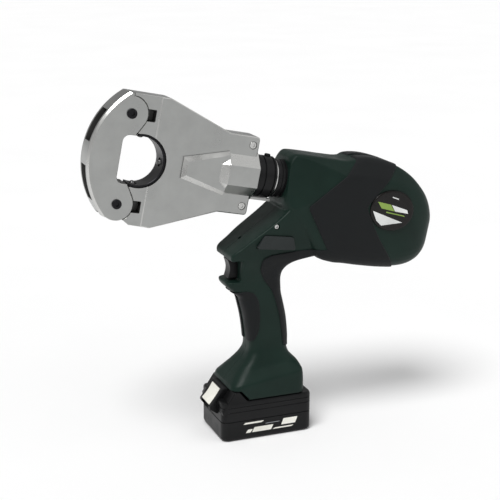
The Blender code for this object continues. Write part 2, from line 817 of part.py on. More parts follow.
def make_return_spring():
    """The ram's return spring, between the piston and the front of its chamber."""
    steps_per_turn = 8
    start = PISTON_REAR + PISTON_LENGTH + GAP + SPRING_WIRE
    end = CHAMBER_FRONT - GAP - SPRING_WIRE
    count = round(SPRING_TURNS * steps_per_turn)
    curve = bpy.data.curves.new("return_spring", "CURVE")
    curve.dimensions = "3D"
    curve.bevel_depth = SPRING_WIRE
    curve.bevel_resolution = 2
    curve.use_fill_caps = True
    spline = curve.splines.new("POLY")
    spline.points.add(count)
    for i, point in enumerate(spline.points):
        angle = 2 * math.pi * i / steps_per_turn
        forward = start + (end - start) * i / count
        point.co = (-forward, SPRING_RADIUS * math.cos(angle), SPRING_RADIUS * math.sin(angle), 1)
    spring = bpy.data.objects.new("return_spring", curve)
    spring.parent = HEAD.empty
    curve.materials.append(LOOKS["bright_steel"])
    PARTS.objects.link(spring)


def make_yoke():
    outline = tool_outline(yoke_outline())
    yoke = extruded("head_yoke", [outline], -HALF_HEAD, HALF_HEAD, "cast_aluminium", YOKE)
    slot = TONGUE_HALF_WIDTH + LOOSE_FIT
    room = TONGUE_RADIUS + 0.002
    rear = CRIMP_CENTRE - 0.02
    for side, pin in (("upper", UPPER_PIN), ("lower", LOWER_PIN)):
        bore = PIN_RADIUS + RUNNING_FIT
        cut(yoke, cross_rod(f"{side}_yoke_pin_bore", pin, bore, -0.03, 0.03, "cast_aluminium", YOKE))
    upper_slot = arc(UPPER_PIN, room, math.pi / 2, -math.pi / 2, 12)
    upper_slot += [(rear, PIN_UP - room), (rear, PIN_UP + room)]
    lower_slot = arc(LOWER_PIN, room, math.pi / 2, 0, 6)
    lower_slot += [
        (PIN_FORWARD + room + 0.003, -PIN_UP - 0.03),
        (rear, -PIN_UP - 0.03),
        (rear, -PIN_UP + room),
    ]
    for side, outline in (("upper", upper_slot), ("lower", lower_slot)):
        name = f"{side}_tongue_slot"
        cut(yoke, extruded(name, [tool_outline(outline)], -slot, slot, "cast_aluminium", YOKE))
    for side, sign in (("upper", 1), ("lower", -1)):
        cut(yoke, rim_window(side, sign))
    bore_end = CRIMP_CENTRE + FRONT_INDENTER_REST + FRONT_INDENTER_LENGTH + 0.001
    cut(
        yoke,
        rod(
            "front_indenter_bore", (-CRIMP_CENTRE, 0, 0), (-bore_end, 0, 0),
            INDENTER_RADIUS + RUNNING_FIT, "cast_aluminium", YOKE,
        ),
    )
    return yoke


def rim_window(side, sign):
    """A pocket in the rim between the yoke's two side walls."""
    centre = (RIM_CENTRE, 0)
    inner = RIM_RADIUS - RIM_WINDOW_DEPTH
    start = sign * math.asin(RIM_WEB_HALF_HEIGHT / RIM_RADIUS)
    end = sign * math.asin(RIM_WINDOW_REACH / RIM_RADIUS)
    outline = arc(centre, RIM_RADIUS + 0.01, start, end, 6) + arc(centre, inner, end, start, 6)
    return extruded(
        f"{side}_rim_window", [tool_outline(outline)], -RIM_WINDOW_HALF_WIDTH, RIM_WINDOW_HALF_WIDTH,
        "cast_aluminium", YOKE,
    )


def make_pin(name, place, head_radius, pivot):
    """A pin across the head with a flat head on the left."""
    face = HALF_HEAD + GAP
    pin = cross_rod(name, place, PIN_RADIUS, -face - 0.0005, HALF_HEAD - 0.0005, "dark_steel", pivot)
    head = cross_rod(
        f"{name}_head_form", place, head_radius, -face - PIN_HEAD_HEIGHT, -face, "dark_steel", pivot
    )
    join(pin, head)
    socket = cross_rod(
        f"{name}_socket", place, head_radius * 0.45, -face - PIN_HEAD_HEIGHT - 0.002, -face - 0.0004,
        "dark_steel", pivot, 6,
    )
    cut(pin, socket)
    return pin


# Rotating neck


def make_neck():
    cap_front = PISTON_REAR - 0.0005
    plug = PISTON_RADIUS
    bore = SPIGOT_RADIUS + RUNNING_FIT
    cap = [
        (cap_front, OIL_BORE),
        (cap_front, plug),
        (COLLAR_FRONT + 0.001, plug),
        (COLLAR_FRONT + 0.001, CAP_SPIGOT_RADIUS),
        (COLLAR_REAR + 0.0005, CAP_SPIGOT_RADIUS),
        (COLLAR_REAR + 0.0005, bore),
        (0.0, bore),
        (0.0, OIL_BORE),
    ]
    turned("cylinder_cap", cap, "bright_steel", HEAD)
    ring = CAP_SPIGOT_RADIUS + GAP
    collar = turned(
        "neck_collar",
        [
            (COLLAR_FRONT, ring),
            (COLLAR_FRONT, COLLAR_RADIUS),
            (COLLAR_REAR, COLLAR_RADIUS),
            (COLLAR_REAR, ring),
        ],
        "black_plastic",
        HEAD,
    )
    mark_top = COLLAR_RADIUS + 0.0025
    mark = rod("collar_mark_form", (0.009, 0, 0.02), (0.009, 0, mark_top), 0.0035, "black_plastic", HEAD)
    join(collar, mark)
    spigot_front = -GAP
    spigot = [
        (spigot_front, OIL_BORE),
        (spigot_front, SPIGOT_RADIUS),
        (SWIVEL_SEAL_PLACE + 0.0015, SPIGOT_RADIUS),
        (SWIVEL_SEAL_PLACE + 0.0015, SPIGOT_RADIUS - 0.002),
        (SWIVEL_SEAL_PLACE - 0.0015, SPIGOT_RADIUS - 0.002),
        (SWIVEL_SEAL_PLACE - 0.0015, SPIGOT_RADIUS),
        (PUMP_FRONT + GAP, SPIGOT_RADIUS),
        (PUMP_FRONT + GAP, OIL_BORE),
    ]
    turned("swivel_spigot", spigot, "bright_steel", TOOL)
    seal_low = SPIGOT_RADIUS - 0.002 + GAP
    seal_high = SPIGOT_RADIUS + 0.0001
    turned(
        "swivel_seal",
        [
            (SWIVEL_SEAL_PLACE + 0.0011, seal_low),
            (SWIVEL_SEAL_PLACE + 0.0011, seal_high),
            (SWIVEL_SEAL_PLACE - 0.0011, seal_high),
            (SWIVEL_SEAL_PLACE - 0.0011, seal_low),
        ],
        "black_rubber",
        TOOL,
    )
    race_front = COLLAR_REAR - GAP
    turned(
        "swivel_race",
        [(race_front, bore), (race_front, RACE_RADIUS), (RACE_REAR, RACE_RADIUS), (RACE_REAR, bore)],
        "bright_steel",
        TOOL,
    )
    sleeve_front = RACE_REAR - GAP
    turned(
        "neck_sleeve",
        [
            (sleeve_front, bore),
            (sleeve_front, SLEEVE_RADIUS - 0.001),
            (sleeve_front - 0.001, SLEEVE_RADIUS),
            (SLEEVE_REAR, SLEEVE_RADIUS),
            (SLEEVE_REAR, bore),
        ],
        "black_plastic",
        TOOL,
    )




# Housing


def barrel_form(name, grow):
    """The closed outer form of the barrel, grown by a distance."""
    sections = []
    last = len(BARREL) - 1
    for i, (forward, top, bottom, half_width, radius) in enumerate(BARREL):
        shift = grow if i == 0 else -grow if i == last else 0
        across = half_width + grow
        outline = rounded_rectangle(-across, across, bottom - grow, top + grow, radius + grow)
        sections.append([(-(forward + shift), y, z) for y, z in outline])
    return loft(name, sections, "green_plastic", TOOL)


def handle_form(name, grow):
    """The closed outer form of the foot, grip and shoulder, grown by a distance."""
    sections = []
    last = len(HANDLE) - 1
    for i, (height, front, rear, half_width, radius) in enumerate(HANDLE):
        lift = grow * handle_lift(i)
        if i == last:
            lift = grow
        across = half_width + grow
        outline = rounded_rectangle(front - grow, rear + grow, -across, across, radius + grow)
        sections.append([(x, y, height + lift) for x, y in outline])
    return loft(name, sections, "green_plastic")


def handle_lift(index):
    """Which way a flat step of the handle's front moves as the form grows: up at the guard lip, where
    the section above is set back, and down at the nose over the trigger."""
    front = HANDLE[index][1]
    if index == 0:
        return -1
    step = 0.010
    after = HANDLE[index + 1][1] if index + 1 < len(HANDLE) else front
    before = HANDLE[index - 1][1]
    close = 0.001
    if after - front > step and HANDLE[index + 1][0] - HANDLE[index][0] < close:
        return 1
    if front - before > step and HANDLE[index][0] - HANDLE[index - 1][0] < close:
        return 1
    if after - front < -step and HANDLE[index + 1][0] - HANDLE[index][0] < close:
        return -1
    if front - before < -step and HANDLE[index][0] - HANDLE[index - 1][0] < close:
        return -1
    return 0


def housing_form(name, grow):
    form = handle_form(name, grow)
    join(form, barrel_form(f"{name}_barrel", grow))
    return form


def half_space(name, side, start, look="green_plastic"):
    """A box that holds everything on one side of the middle plane, from a distance outward."""
    low, high = sorted((side * start, side * 0.1))
    return block(name, (-0.4, low, -0.1), (0.5, high, 0.5), look)


def make_housing_half(name, side):
    half = housing_form(name, 0)
    cavity = housing_form(f"{name}_cavity", -WALL)
    cut(half, cavity)
    for i, (x, z, half_width, head_side) in enumerate(SCREWS):
        outer = side * (half_width - 0.001)
        join(half, rod(f"{name}_boss_{i}", (x, outer, z), (x, 0, z), BOSS_RADIUS, "green_plastic", sides=8))
    keep_inside(half, half_space(f"{name}_side", side, GAP / 2))
    cut(half, *housing_cutters(name))
    for i, (x, z, half_width, head_side) in enumerate(SCREWS):
        reach = side * 0.06 if head_side == side else side * (SCREW_REACH + 0.001)
        start = (x, -side * 0.01, z)
        bore = SCREW_RADIUS + RUNNING_FIT
        cut(half, rod(f"{name}_screw_bore_{i}", start, (x, reach, z), bore, "green_plastic", sides=8))
        if head_side == side:
            floor = side * (half_width - SCREW_SINK - SCREW_HEAD_DEPTH - GAP)
            recess = SCREW_HEAD_RADIUS + RUNNING_FIT
            end = (x, side * 0.06, z)
            cut(half, rod(f"{name}_screw_head_bore_{i}", (x, floor, z), end, recess, "green_plastic", sides=12))
    if side < 0:
        cut(half, retract_form("retract_opening", LOOSE_FIT, 0.02, 0.06))
    return half


def housing_cutters(name):
    nose = rod(
        f"{name}_nose_bore", (0, 0, 0), (0.055, 0, 0), SLEEVE_RADIUS + GAP, "green_plastic", TOOL, sides=24
    )
    bay = block(
        f"{name}_battery_bay", (-0.09, -BAY_HALF_WIDTH, 0.04), (BAY_REAR, BAY_HALF_WIDTH, BAY_TOP),
        "green_plastic",
    )
    notch = block(
        f"{name}_foot_notch", (-0.09, -0.05, 0.04), (FOOT_NOTCH_REAR, 0.05, FOOT_NOTCH_TOP), "green_plastic"
    )
    slot = TRIGGER_HALF_WIDTH + LOOSE_FIT
    trigger_slot = block(
        f"{name}_trigger_slot",
        (-0.035, -slot, TRIGGER_LOW - LOOSE_FIT),
        (-0.020, slot, TRIGGER_HIGH + LOOSE_FIT),
        "green_plastic",
    )
    return nose, bay, notch, trigger_slot


def retract_form(name, grow, inner, outer):
    """The retract button's trapezoid, grown by a distance, between two distances from the middle plane."""
    centre = sum((Vector(point) for point in RETRACT_OUTLINE), Vector((0, 0))) / len(RETRACT_OUTLINE)
    outline = []
    for point in RETRACT_OUTLINE:
        away = Vector(point) - centre
        outline.append(Vector(point) + away.normalized() * grow * 1.6)
    return extruded(name, [tool_outline(outline)], -outer, -inner, "grey_plastic", TOOL)


def make_retract_button():
    return retract_form("retract_button", 0, RETRACT_FACE - RETRACT_DEPTH, RETRACT_FACE)


def make_housing_screws():
    for i, (x, z, half_width, side) in enumerate(SCREWS):
        top = side * (half_width - SCREW_SINK)
        seat = side * (half_width - SCREW_SINK - SCREW_HEAD_DEPTH)
        tail = (x, -side * SCREW_REACH, z)
        neck = (x, top - side * 0.001, z)
        screw = rod(f"housing_screw_{i + 1}", neck, tail, SCREW_RADIUS, "dark_steel", sides=8)
        head = rod(
            f"housing_screw_head_{i + 1}", (x, top, z), (x, seat, z), SCREW_HEAD_RADIUS, "dark_steel", sides=12
        )
        join(screw, head)
        socket = rod(
            f"housing_screw_socket_{i + 1}", (x, top + side * 0.001, z), (x, top - side * 0.0013, z), 0.0015,
            "dark_steel", sides=6,
        )
        cut(screw, socket)


def make_rubber(name, side, outline, pivot, start=RUBBER_SIDE_CUT):
    """A rubber skin on the housing, over the area inside an outline seen from the side."""
    skin = housing_form(name, SKIN)
    skin.data.materials.clear()
    skin.data.materials.append(LOOKS["black_rubber"])
    cut(skin, housing_form(f"{name}_inner", GAP))
    low, high = sorted((side * start, side * 0.08))
    keep_inside(skin, extruded(f"{name}_area", [outline], low, high, "black_rubber", pivot))
    return skin


def make_rubbers():
    for name, side in (("left", -1), ("right", 1)):
        make_rubber(f"{name}_side_rubber", side, tool_outline(SIDE_RUBBER), TOOL)
        make_rubber(f"{name}_grip_rubber", side, GRIP_RUBBER, WORLD)
        make_rubber(f"{name}_back_rubber", side, BACK_RUBBER, WORLD)


def make_labels():
    half_width = 0.0370
    for name, side in (("left", -1), ("right", 1)):
        placed = [
            (LABEL_CENTRE[0] + LABEL_HALF_LENGTH * x, LABEL_CENTRE[1] + LABEL_HALF_HEIGHT * z)
            for x, z in arc((0, 0), 1, 0, 2 * math.pi * 23 / 24, 23)
        ]
        inner = side * (half_width + SKIN + GAP)
        low, high = sorted((inner, inner + side * LABEL_THICKNESS))
        extruded(f"{name}_label", [tool_outline(placed)], low, high, "label_film", TOOL)


def make_trigger():
    trigger = block(
        "trigger",
        (TRIGGER_FRONT, -TRIGGER_HALF_WIDTH, TRIGGER_LOW),
        (TRIGGER_REAR, TRIGGER_HALF_WIDTH, TRIGGER_HIGH),
        "black_plastic",
        TRIGGER,
        0.0025,
    )
    flange = block(
        "trigger_flange_form",
        (TRIGGER_REAR - 0.0045, -TRIGGER_HALF_WIDTH - 0.003, TRIGGER_LOW + 0.003),
        (TRIGGER_REAR - 0.0005, TRIGGER_HALF_WIDTH + 0.003, TRIGGER_HIGH - 0.003),
        "black_plastic",
        TRIGGER,
    )
    join(trigger, flange)
    return trigger


def make_trigger_switch():
    front = TRIGGER_REAR + TRIGGER_TRAVEL + 0.001
    rear = front + 0.022
    return block("trigger_switch", (front, -0.009, 0.186), (rear, 0.009, 0.212), "black_plastic", WORLD, 0.001)


# Drive train


def make_drive_train():
    pump = block(
        "pump_block",
        (-PUMP_FRONT, -PUMP_HALF_WIDTH, PUMP_BOTTOM),
        (-PUMP_REAR, PUMP_HALF_WIDTH, PUMP_TOP),
        "bright_steel",
        TOOL,
        0.002,
    )
    crank_depth = 0.024
    crank_bore = rod(
        "crank_bore", (-PUMP_REAR + 0.01, 0, -DRIVE_DROP), (-PUMP_REAR - crank_depth, 0, -DRIVE_DROP),
        ECCENTRIC_RADIUS + ECCENTRIC_OFFSET + LOOSE_FIT, "bright_steel", TOOL,
    )
    plunger_x = -PUMP_REAR - 0.012
    plunger_start = -DRIVE_DROP + ECCENTRIC_RADIUS + ECCENTRIC_OFFSET + LOOSE_FIT
    plunger_bore = rod(
        "plunger_bore", (plunger_x, 0, -DRIVE_DROP), (plunger_x, 0, PUMP_TOP + 0.01),
        PLUNGER_RADIUS + RUNNING_FIT, "bright_steel", TOOL,
    )
    start = (-PUMP_FRONT - 0.01, 0, 0)
    oil_way = rod("oil_way", start, (plunger_x, 0, 0), OIL_BORE, "bright_steel", TOOL, sides=12)
    cut(pump, crank_bore, plunger_bore, oil_way)
    rod(
        "pump_plunger", (plunger_x, 0, plunger_start + 0.0003), (plunger_x, 0, PUMP_TOP - 0.004),
        PLUNGER_RADIUS, "bright_steel", TOOL,
    )
    make_crank(crank_depth)
    make_gearbox_and_motor()
    block(
        "oil_reservoir",
        (-PUMP_FRONT + 0.001, -RESERVOIR_HALF_WIDTH, PUMP_BOTTOM - GAP - RESERVOIR_HEIGHT),
        (-PUMP_FRONT + 0.001 + RESERVOIR_LENGTH, RESERVOIR_HALF_WIDTH, PUMP_BOTTOM - GAP),
        "black_rubber",
        TOOL,
        0.006,
    )


def make_crank(depth):
    """The eccentric shaft that drives the pump plunger."""
    shaft_end = -PUMP_REAR + 0.008
    crank = rod(
        "crank_shaft", (-PUMP_REAR - depth + 0.0015, 0, -DRIVE_DROP), (shaft_end, 0, -DRIVE_DROP),
        SHAFT_RADIUS + 0.001, "bright_steel", DRIVE,
    )
    eccentric = rod(
        "eccentric_form",
        (-PUMP_REAR - 0.018, 0, -DRIVE_DROP - ECCENTRIC_OFFSET),
        (-PUMP_REAR - 0.006, 0, -DRIVE_DROP - ECCENTRIC_OFFSET),
        ECCENTRIC_RADIUS,
        "bright_steel",
        DRIVE,
    )
    join(crank, eccentric)


def make_gearbox_and_motor():
    gearbox_front = PUMP_REAR - GAP
    gearbox_rear = gearbox_front - GEARBOX_LENGTH
    wall = 0.003
    inside = GEARBOX_RADIUS - wall
    hole = SHAFT_RADIUS + 0.0015
    turned(
        "gearbox_case",
        [
            (gearbox_front, hole),
            (gearbox_front, GEARBOX_RADIUS),
            (gearbox_rear, GEARBOX_RADIUS),
            (gearbox_rear, inside),
            (gearbox_front - wall, inside),
            (gearbox_front - wall, hole),
        ],
        "cast_aluminium",
        TOOL,
        centre_up=-DRIVE_DROP,
    )
    carrier_front = -PUMP_REAR + 0.0083
    rod(
        "planet_carrier", (carrier_front, 0, -DRIVE_DROP), (carrier_front + 0.005, 0, -DRIVE_DROP),
        inside - 0.002, "brass", DRIVE, sides=24,
    )
    motor_front = gearbox_rear - GAP
    motor_rear = motor_front - MOTOR_LENGTH
    inner = MOTOR_RADIUS - MOTOR_WALL
    turned(
        "motor_can",
        [
            (motor_front, SHAFT_RADIUS + 0.001),
            (motor_front, MOTOR_RADIUS),
            (motor_rear, MOTOR_RADIUS),
            (motor_rear, SHAFT_RADIUS + 0.001),
            (motor_rear + MOTOR_WALL, SHAFT_RADIUS + 0.001),
            (motor_rear + MOTOR_WALL, inner),
            (motor_front - MOTOR_WALL, inner),
            (motor_front - MOTOR_WALL, SHAFT_RADIUS + 0.001),
        ],
        "dark_steel",
        TOOL,
        centre_up=-DRIVE_DROP,
    )
    turned(
        "motor_rotor",
        [
            (motor_front + 0.010, 0),
            (motor_front + 0.010, SHAFT_RADIUS),
            (motor_front - 0.010, SHAFT_RADIUS),
            (motor_front - 0.010, ROTOR_RADIUS),
            (motor_rear + 0.016, ROTOR_RADIUS),
            (motor_rear + 0.016, SHAFT_RADIUS),
            (motor_rear - 0.001, SHAFT_RADIUS),
            (motor_rear - 0.001, 0),
        ],
        "copper",
        DRIVE,
        centre_up=-DRIVE_DROP,
    )


# Battery


def battery_section(height, inset, radius=0.009):
    x = BATTERY_LENGTH / 2 - inset
    y = BATTERY_WIDTH / 2 - inset
    return [(a, b, height) for a, b in rounded_rectangle(-x, x, -y, y, radius)]


def slope_section(front, rear, half_width, height):
    return [(front if x < 0 else rear, y * half_width, height) for x, y in CORNERS]


def make_battery():
    tray = loft(
        "battery_tray",
        [battery_section(0, 0.004), battery_section(0.0045, 0), battery_section(BATTERY_SPLIT, 0)],
        "black_plastic",
        BATTERY,
    )
    hollow = loft(
        "battery_tray_hollow",
        [
            battery_section(BATTERY_WALL, BATTERY_WALL + 0.002),
            battery_section(0.006, BATTERY_WALL),
            battery_section(0.03, BATTERY_WALL),
        ],
        "black_plastic",
        BATTERY,
    )
    cut(tray, hollow)
    lid = loft(
        "battery_lid",
        [
            battery_section(BATTERY_SPLIT + GAP, 0),
            battery_section(BATTERY_TOP - 0.002, 0),
            battery_section(BATTERY_TOP, 0.002),
        ],
        "black_plastic",
        BATTERY,
    )
    x_high = BLOCK_REAR
    low_x, low_z = SHOULDER_LOW
    high_x, high_z = SHOULDER_HIGH
    half = BATTERY_WIDTH / 2
    front_block = loft(
        "battery_front_block",
        [
            slope_section(low_x, x_high, half, low_z - 0.004),
            slope_section(low_x, x_high, half, low_z),
            slope_section(high_x, x_high, half - 0.003, high_z),
            slope_section(high_x + 0.001, x_high, half - 0.004, BLOCK_TOP),
        ],
        "black_plastic",
        BATTERY,
    )
    rail = block(
        "battery_rail",
        (RAIL_FRONT, -RAIL_HALF_WIDTH, BATTERY_TOP - 0.002),
        (RAIL_REAR, RAIL_HALF_WIDTH, RAIL_TOP),
        "black_plastic", BATTERY,
    )
    nose = extruded(
        "battery_nose",
        [
            [
                (SLOPE_LOW[0], SLOPE_LOW[1] - 0.0025),
                (low_x + 0.001, NOSE_UNDERSIDE),
                (high_x, NOSE_UNDERSIDE),
                (high_x, BLOCK_TOP),
                (SLOPE_HIGH[0] + 0.001, BLOCK_TOP),
                SLOPE_HIGH,
                SLOPE_LOW,
            ]
        ],
        -NOSE_HALF_WIDTH,
        NOSE_HALF_WIDTH,
        "black_plastic",
        BATTERY,
    )
    join(lid, front_block, nose, rail)
    hollow_lid = loft(
        "battery_lid_hollow",
        [
            battery_section(BATTERY_SPLIT - 0.01, BATTERY_WALL),
            battery_section(BATTERY_TOP - BATTERY_WALL, BATTERY_WALL),
        ],
        "black_plastic",
        BATTERY,
    )
    cut(lid, hollow_lid, slope_box("button_pocket", 0.0, BUTTON_TRAVEL + LOOSE_FIT, LOOSE_FIT, 0.0008))
    for i, y in enumerate(BLADE_PLACES):
        cut(
            lid,
            block(
                f"blade_slot_{i}",
                (RAIL_REAR - 0.014, y - 0.001, 0.0515),
                (RAIL_REAR + 0.01, y + 0.001, RAIL_TOP + 0.005),
                "black_plastic", BATTERY,
            ),
        )
    slope_box("battery_release_button", BUTTON_PROUD, 0.0, 0.0, 0.0)
    make_cells()




def slope_box(name, proud, extra_travel, grow, deeper):
    """A box set into the battery's sloping front: the release button, or the pocket that it slides in."""
    low = Vector((SLOPE_LOW[0], 0, SLOPE_LOW[1]))
    high = Vector((SLOPE_HIGH[0], 0, SLOPE_HIGH[1]))
    along = (high - low).normalized()
    out = Vector((-along.z, 0, along.x))
    middle = (low + high) / 2
    start = middle - along * (BUTTON_LENGTH / 2 + extra_travel + grow)
    end = middle + along * (BUTTON_LENGTH / 2 + grow)
    thickness_out = proud if proud else 0.02
    sections = []
    for point in (start, end):
        inner = point - out * (BUTTON_THICKNESS - BUTTON_PROUD + deeper)
        outer = point + out * thickness_out
        wide = BUTTON_HALF_WIDTH + grow
        corners = ((inner, -wide), (outer, -wide), (outer, wide), (inner, wide))
        sections.append([(point.x, y, point.z) for point, y in corners])
    look = "pale_plastic"
    return loft(name, sections, look, BATTERY)


def make_cells():
    """Ten cells in two rows, held together by a cradle."""
    height = BATTERY_WALL + 0.0012 + CELL_RADIUS
    cradle = block(
        "cell_pack",
        (-0.049, -0.004, height - 0.004),
        (0.049, 0.004, height + CELL_PITCH + 0.004),
        "brass",
        BATTERY,
    )
    for row in range(2):
        for column in range(5):
            x = (column - 2) * CELL_PITCH
            z = height + row * CELL_PITCH
            join(
                cradle,
                rod(
                    f"cell_{row}_{column}", (x, -CELL_LENGTH / 2, z), (x, CELL_LENGTH / 2, z), CELL_RADIUS,
                    "brass", BATTERY, sides=10,
                ),
            )


def make_terminal_block():
    front = RAIL_REAR + 0.002
    high = (BAY_REAR - GAP, 0.016, BAY_TOP - GAP)
    terminal = block("terminal_block", (front, -0.016, 0.0505), high, "black_plastic")
    for i, y in enumerate(BLADE_PLACES):
        low = (front - 0.012, y - 0.0005, 0.0525)
        join(terminal, block(f"blade_{i}", low, (front + 0.001, y + 0.0005, 0.0565), "copper"))


def make_handle_electrics():
    board = block("control_board", (-0.020, -0.020, 0.0660), (0.030, 0.020, 0.0676), "circuit_board")
    heat_sink = block("heat_sink_form", (0.004, -0.010, 0.0670), (0.022, 0.010, 0.0750), "circuit_board")
    join(board, heat_sink)
    curve = bpy.data.curves.new("grip_wiring", "CURVE")
    curve.dimensions = "3D"
    curve.bevel_depth = 0.0022
    curve.bevel_resolution = 2
    curve.use_fill_caps = True
    spline = curve.splines.new("POLY")
    route = (
        (-0.008, 0.008, 0.0680), (-0.008, 0.009, 0.085), (-0.004, 0.010, 0.110),
        (-0.002, 0.010, 0.140), (-0.001, 0.009, 0.165), (0.000, 0.006, 0.1855),
    )
    spline.points.add(len(route) - 1)
    for point, place in zip(spline.points, route):
        point.co = (*place, 1)
    wiring = bpy.data.objects.new("grip_wiring", curve)
    curve.materials.append(LOOKS["black_rubber"])
    PARTS.objects.link(wiring)


make_head_frame()
make_lug_screws()
make_crimp_liner()
make_indenter("upper_indenter", (0, 0, 1), INDENTER_REST, INDENTER_LENGTH, UPPER_INDENTER)
make_indenter("lower_indenter", (0, 0, -1), INDENTER_REST, INDENTER_LENGTH, LOWER_INDENTER)
rear_length = CRIMP_CENTRE - INDENTER_REST - REAR_INDENTER_SEAT - GAP
make_indenter("rear_indenter", (1, 0, 0), INDENTER_REST, rear_length, RAM)
make_indenter("front_indenter", (-1, 0, 0), FRONT_INDENTER_REST, FRONT_INDENTER_LENGTH, FRONT_INDENTER)
make_ram()
make_return_spring()
make_yoke()
make_pin("hinge_pin", LOWER_PIN, HINGE_HEAD_RADIUS, HEAD)
make_pin("latch_pin", UPPER_PIN, LATCH_HEAD_RADIUS, LATCH)
make_neck()
make_housing_half("left_housing", -1)
make_housing_half("right_housing", 1)
make_housing_screws()
make_rubbers()
make_labels()
make_retract_button()
make_trigger()
make_trigger_switch()
make_drive_train()
make_battery()
make_terminal_block()
make_handle_electrics()
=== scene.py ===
"""The looks of a cordless hydraulic crimping tool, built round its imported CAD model.

Everything is in metres, in the row frame: +Z up, the head towards -X, the battery's underside at the origin.
The ram axis is tilted. What lies along it is drawn in the tool frame, as (forward, up) from a point on the
ram axis above the battery, and TOOL turns that into the row frame. Its X runs rearward.
"""

import json
import math

import bmesh
import bpy
from mathutils import Matrix, Vector


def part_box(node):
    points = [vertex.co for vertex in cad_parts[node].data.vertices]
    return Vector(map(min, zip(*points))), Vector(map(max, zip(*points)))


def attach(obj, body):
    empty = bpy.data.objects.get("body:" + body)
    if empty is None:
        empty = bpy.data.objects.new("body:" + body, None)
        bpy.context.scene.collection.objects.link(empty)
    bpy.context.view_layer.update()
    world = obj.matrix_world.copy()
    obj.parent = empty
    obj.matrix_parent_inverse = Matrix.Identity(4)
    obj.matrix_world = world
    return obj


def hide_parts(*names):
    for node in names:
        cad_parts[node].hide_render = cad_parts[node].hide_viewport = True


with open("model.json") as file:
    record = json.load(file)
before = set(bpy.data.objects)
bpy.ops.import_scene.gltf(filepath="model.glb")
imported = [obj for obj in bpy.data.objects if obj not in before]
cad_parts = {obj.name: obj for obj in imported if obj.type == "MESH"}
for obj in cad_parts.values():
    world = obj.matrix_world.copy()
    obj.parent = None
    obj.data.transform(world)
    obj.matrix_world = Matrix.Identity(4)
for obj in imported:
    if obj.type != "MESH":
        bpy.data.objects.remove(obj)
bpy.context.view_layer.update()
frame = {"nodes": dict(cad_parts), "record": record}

# Tool frame
AXIS_TILT = math.radians(11.6)
AXIS_HEIGHT = 0.308
WORLD = Matrix.Identity(4)
TOOL = Matrix.Translation((0, 0, AXIS_HEIGHT)) @ Matrix.Rotation(AXIS_TILT, 4, "Y")
FAR = 0.2

# Head
HALF_HEAD = 0.0155
HEAD_REAR = 0.008
LUG_HALF_HEIGHT = 0.045
LUG_FRONT = 0.046
SHOULDER = 0.121
HALF_HEIGHT = 0.0725
RIM_RADIUS = 0.093
RIM_CENTRE = 0.2035 - RIM_RADIUS
CRIMP_CENTRE = 0.145
CRIMP_RADIUS = 0.027
CRIMP_FLAT = 0.168
CRIMP_CORNER = 0.008
LINER_WALL = 0.0027
LINER_HALF_WIDTH = 0.0135
PIN = (0.163, 0.050)
PIN_RADIUS = 0.005
LUG_RADIUS = 0.0185
LUG_CLEARANCE = 0.0008
LUG_TANGENT = math.radians(210)
TONGUE_HALF_WIDTH = 0.006
TONGUE_RADIUS = 0.013
FIT = 0.0003
INDENTER_RADIUS = 0.0048
INDENTER_REST = 0.024
INDENTER_LENGTH = 0.036
FRONT_INDENTER_REST = 0.022
FRONT_INDENTER_LENGTH = 0.022
REAR_INDENTER_SEAT = 0.0963
PISTON_RADIUS = 0.020
ROD_RADIUS = 0.008
CHAMBER_FRONT = 0.062
LUG_SCREW = (HEAD_REAR + 0.0095, LUG_HALF_HEIGHT - 0.010)
HUB_FRONT = 0.092
HUB_NOSE_HALF_HEIGHT = 0.0075
HUB_TAIL_HALF_HEIGHT = 0.0208
HUB_HALF_WIDTH = 0.0215
HUB_CHAMFER = 0.0045
BOSS_TAPER = 0.044
BOSS_ACROSS = 0.054
BOSS_NOSE_LENGTH = 0.016
BOSS_NOSE_SHARES = (0.62, 0.80)
KEY_LOW = (-0.044, -0.005, -0.0275)
KEY_HIGH = (0.020, 0.005, -0.0247)
HEAD_CHAMFER = 0.0011
SMALL_CHAMFER = 0.0005
EDGE = 0.0004
# The step across each face of the plate, and how far ahead its cut runs
STEP_PLACE = 0.131
STEP_RUN = 0.0012
STEP_DEPTH = 0.0007
PAST_HEAD = 0.22
# The pockets over the indenters' shanks: from and to
POCKET_FORWARD = (0.1355, 0.149)
POCKET_UP = (0.044, 0.0575)
POCKET_FLOOR = 0.0030
POCKET_CORNER = 0.0012
# Half the angle that the liner leaves open at the yoke
LINER_GAP = math.radians(76)
PUNCH_TIP_RADIUS = 0.0032
PUNCH_TAPER = 0.0045
RIM_CHAMFER = 0.0024
LOWER_RIM_HEIGHT = 0.065
# The windows in the yoke's rim: from and to, and how deep and wide
RIM_WINDOW_UP = (0.013, 0.050)
RIM_WINDOW_DEPTH = 0.012
RIM_WINDOW_HALF_WIDTH = 0.0095
PIN_HEAD_HEIGHT = 0.0016
HINGE_HEAD_RADIUS = 0.0054
LATCH_HEAD_RADIUS = 0.0056
BOLT_RADIUS = 0.0024
BOLT_HEAD_RADIUS = 0.0041

# Neck
COLLAR_RADIUS = 0.024
COLLAR_GROOVE = 0.0012
COLLAR_BORE = 0.0163
SLEEVE_RADIUS = 0.0222
SLEEVE_GROOVE = 0.0007
SPIGOT_BORE = 0.0103

# Housing
WALL = 0.003
SKIN = 0.0015
VOXEL = 0.0009
RUBBER_VOXEL = 0.0007
SEAM = 0.0002

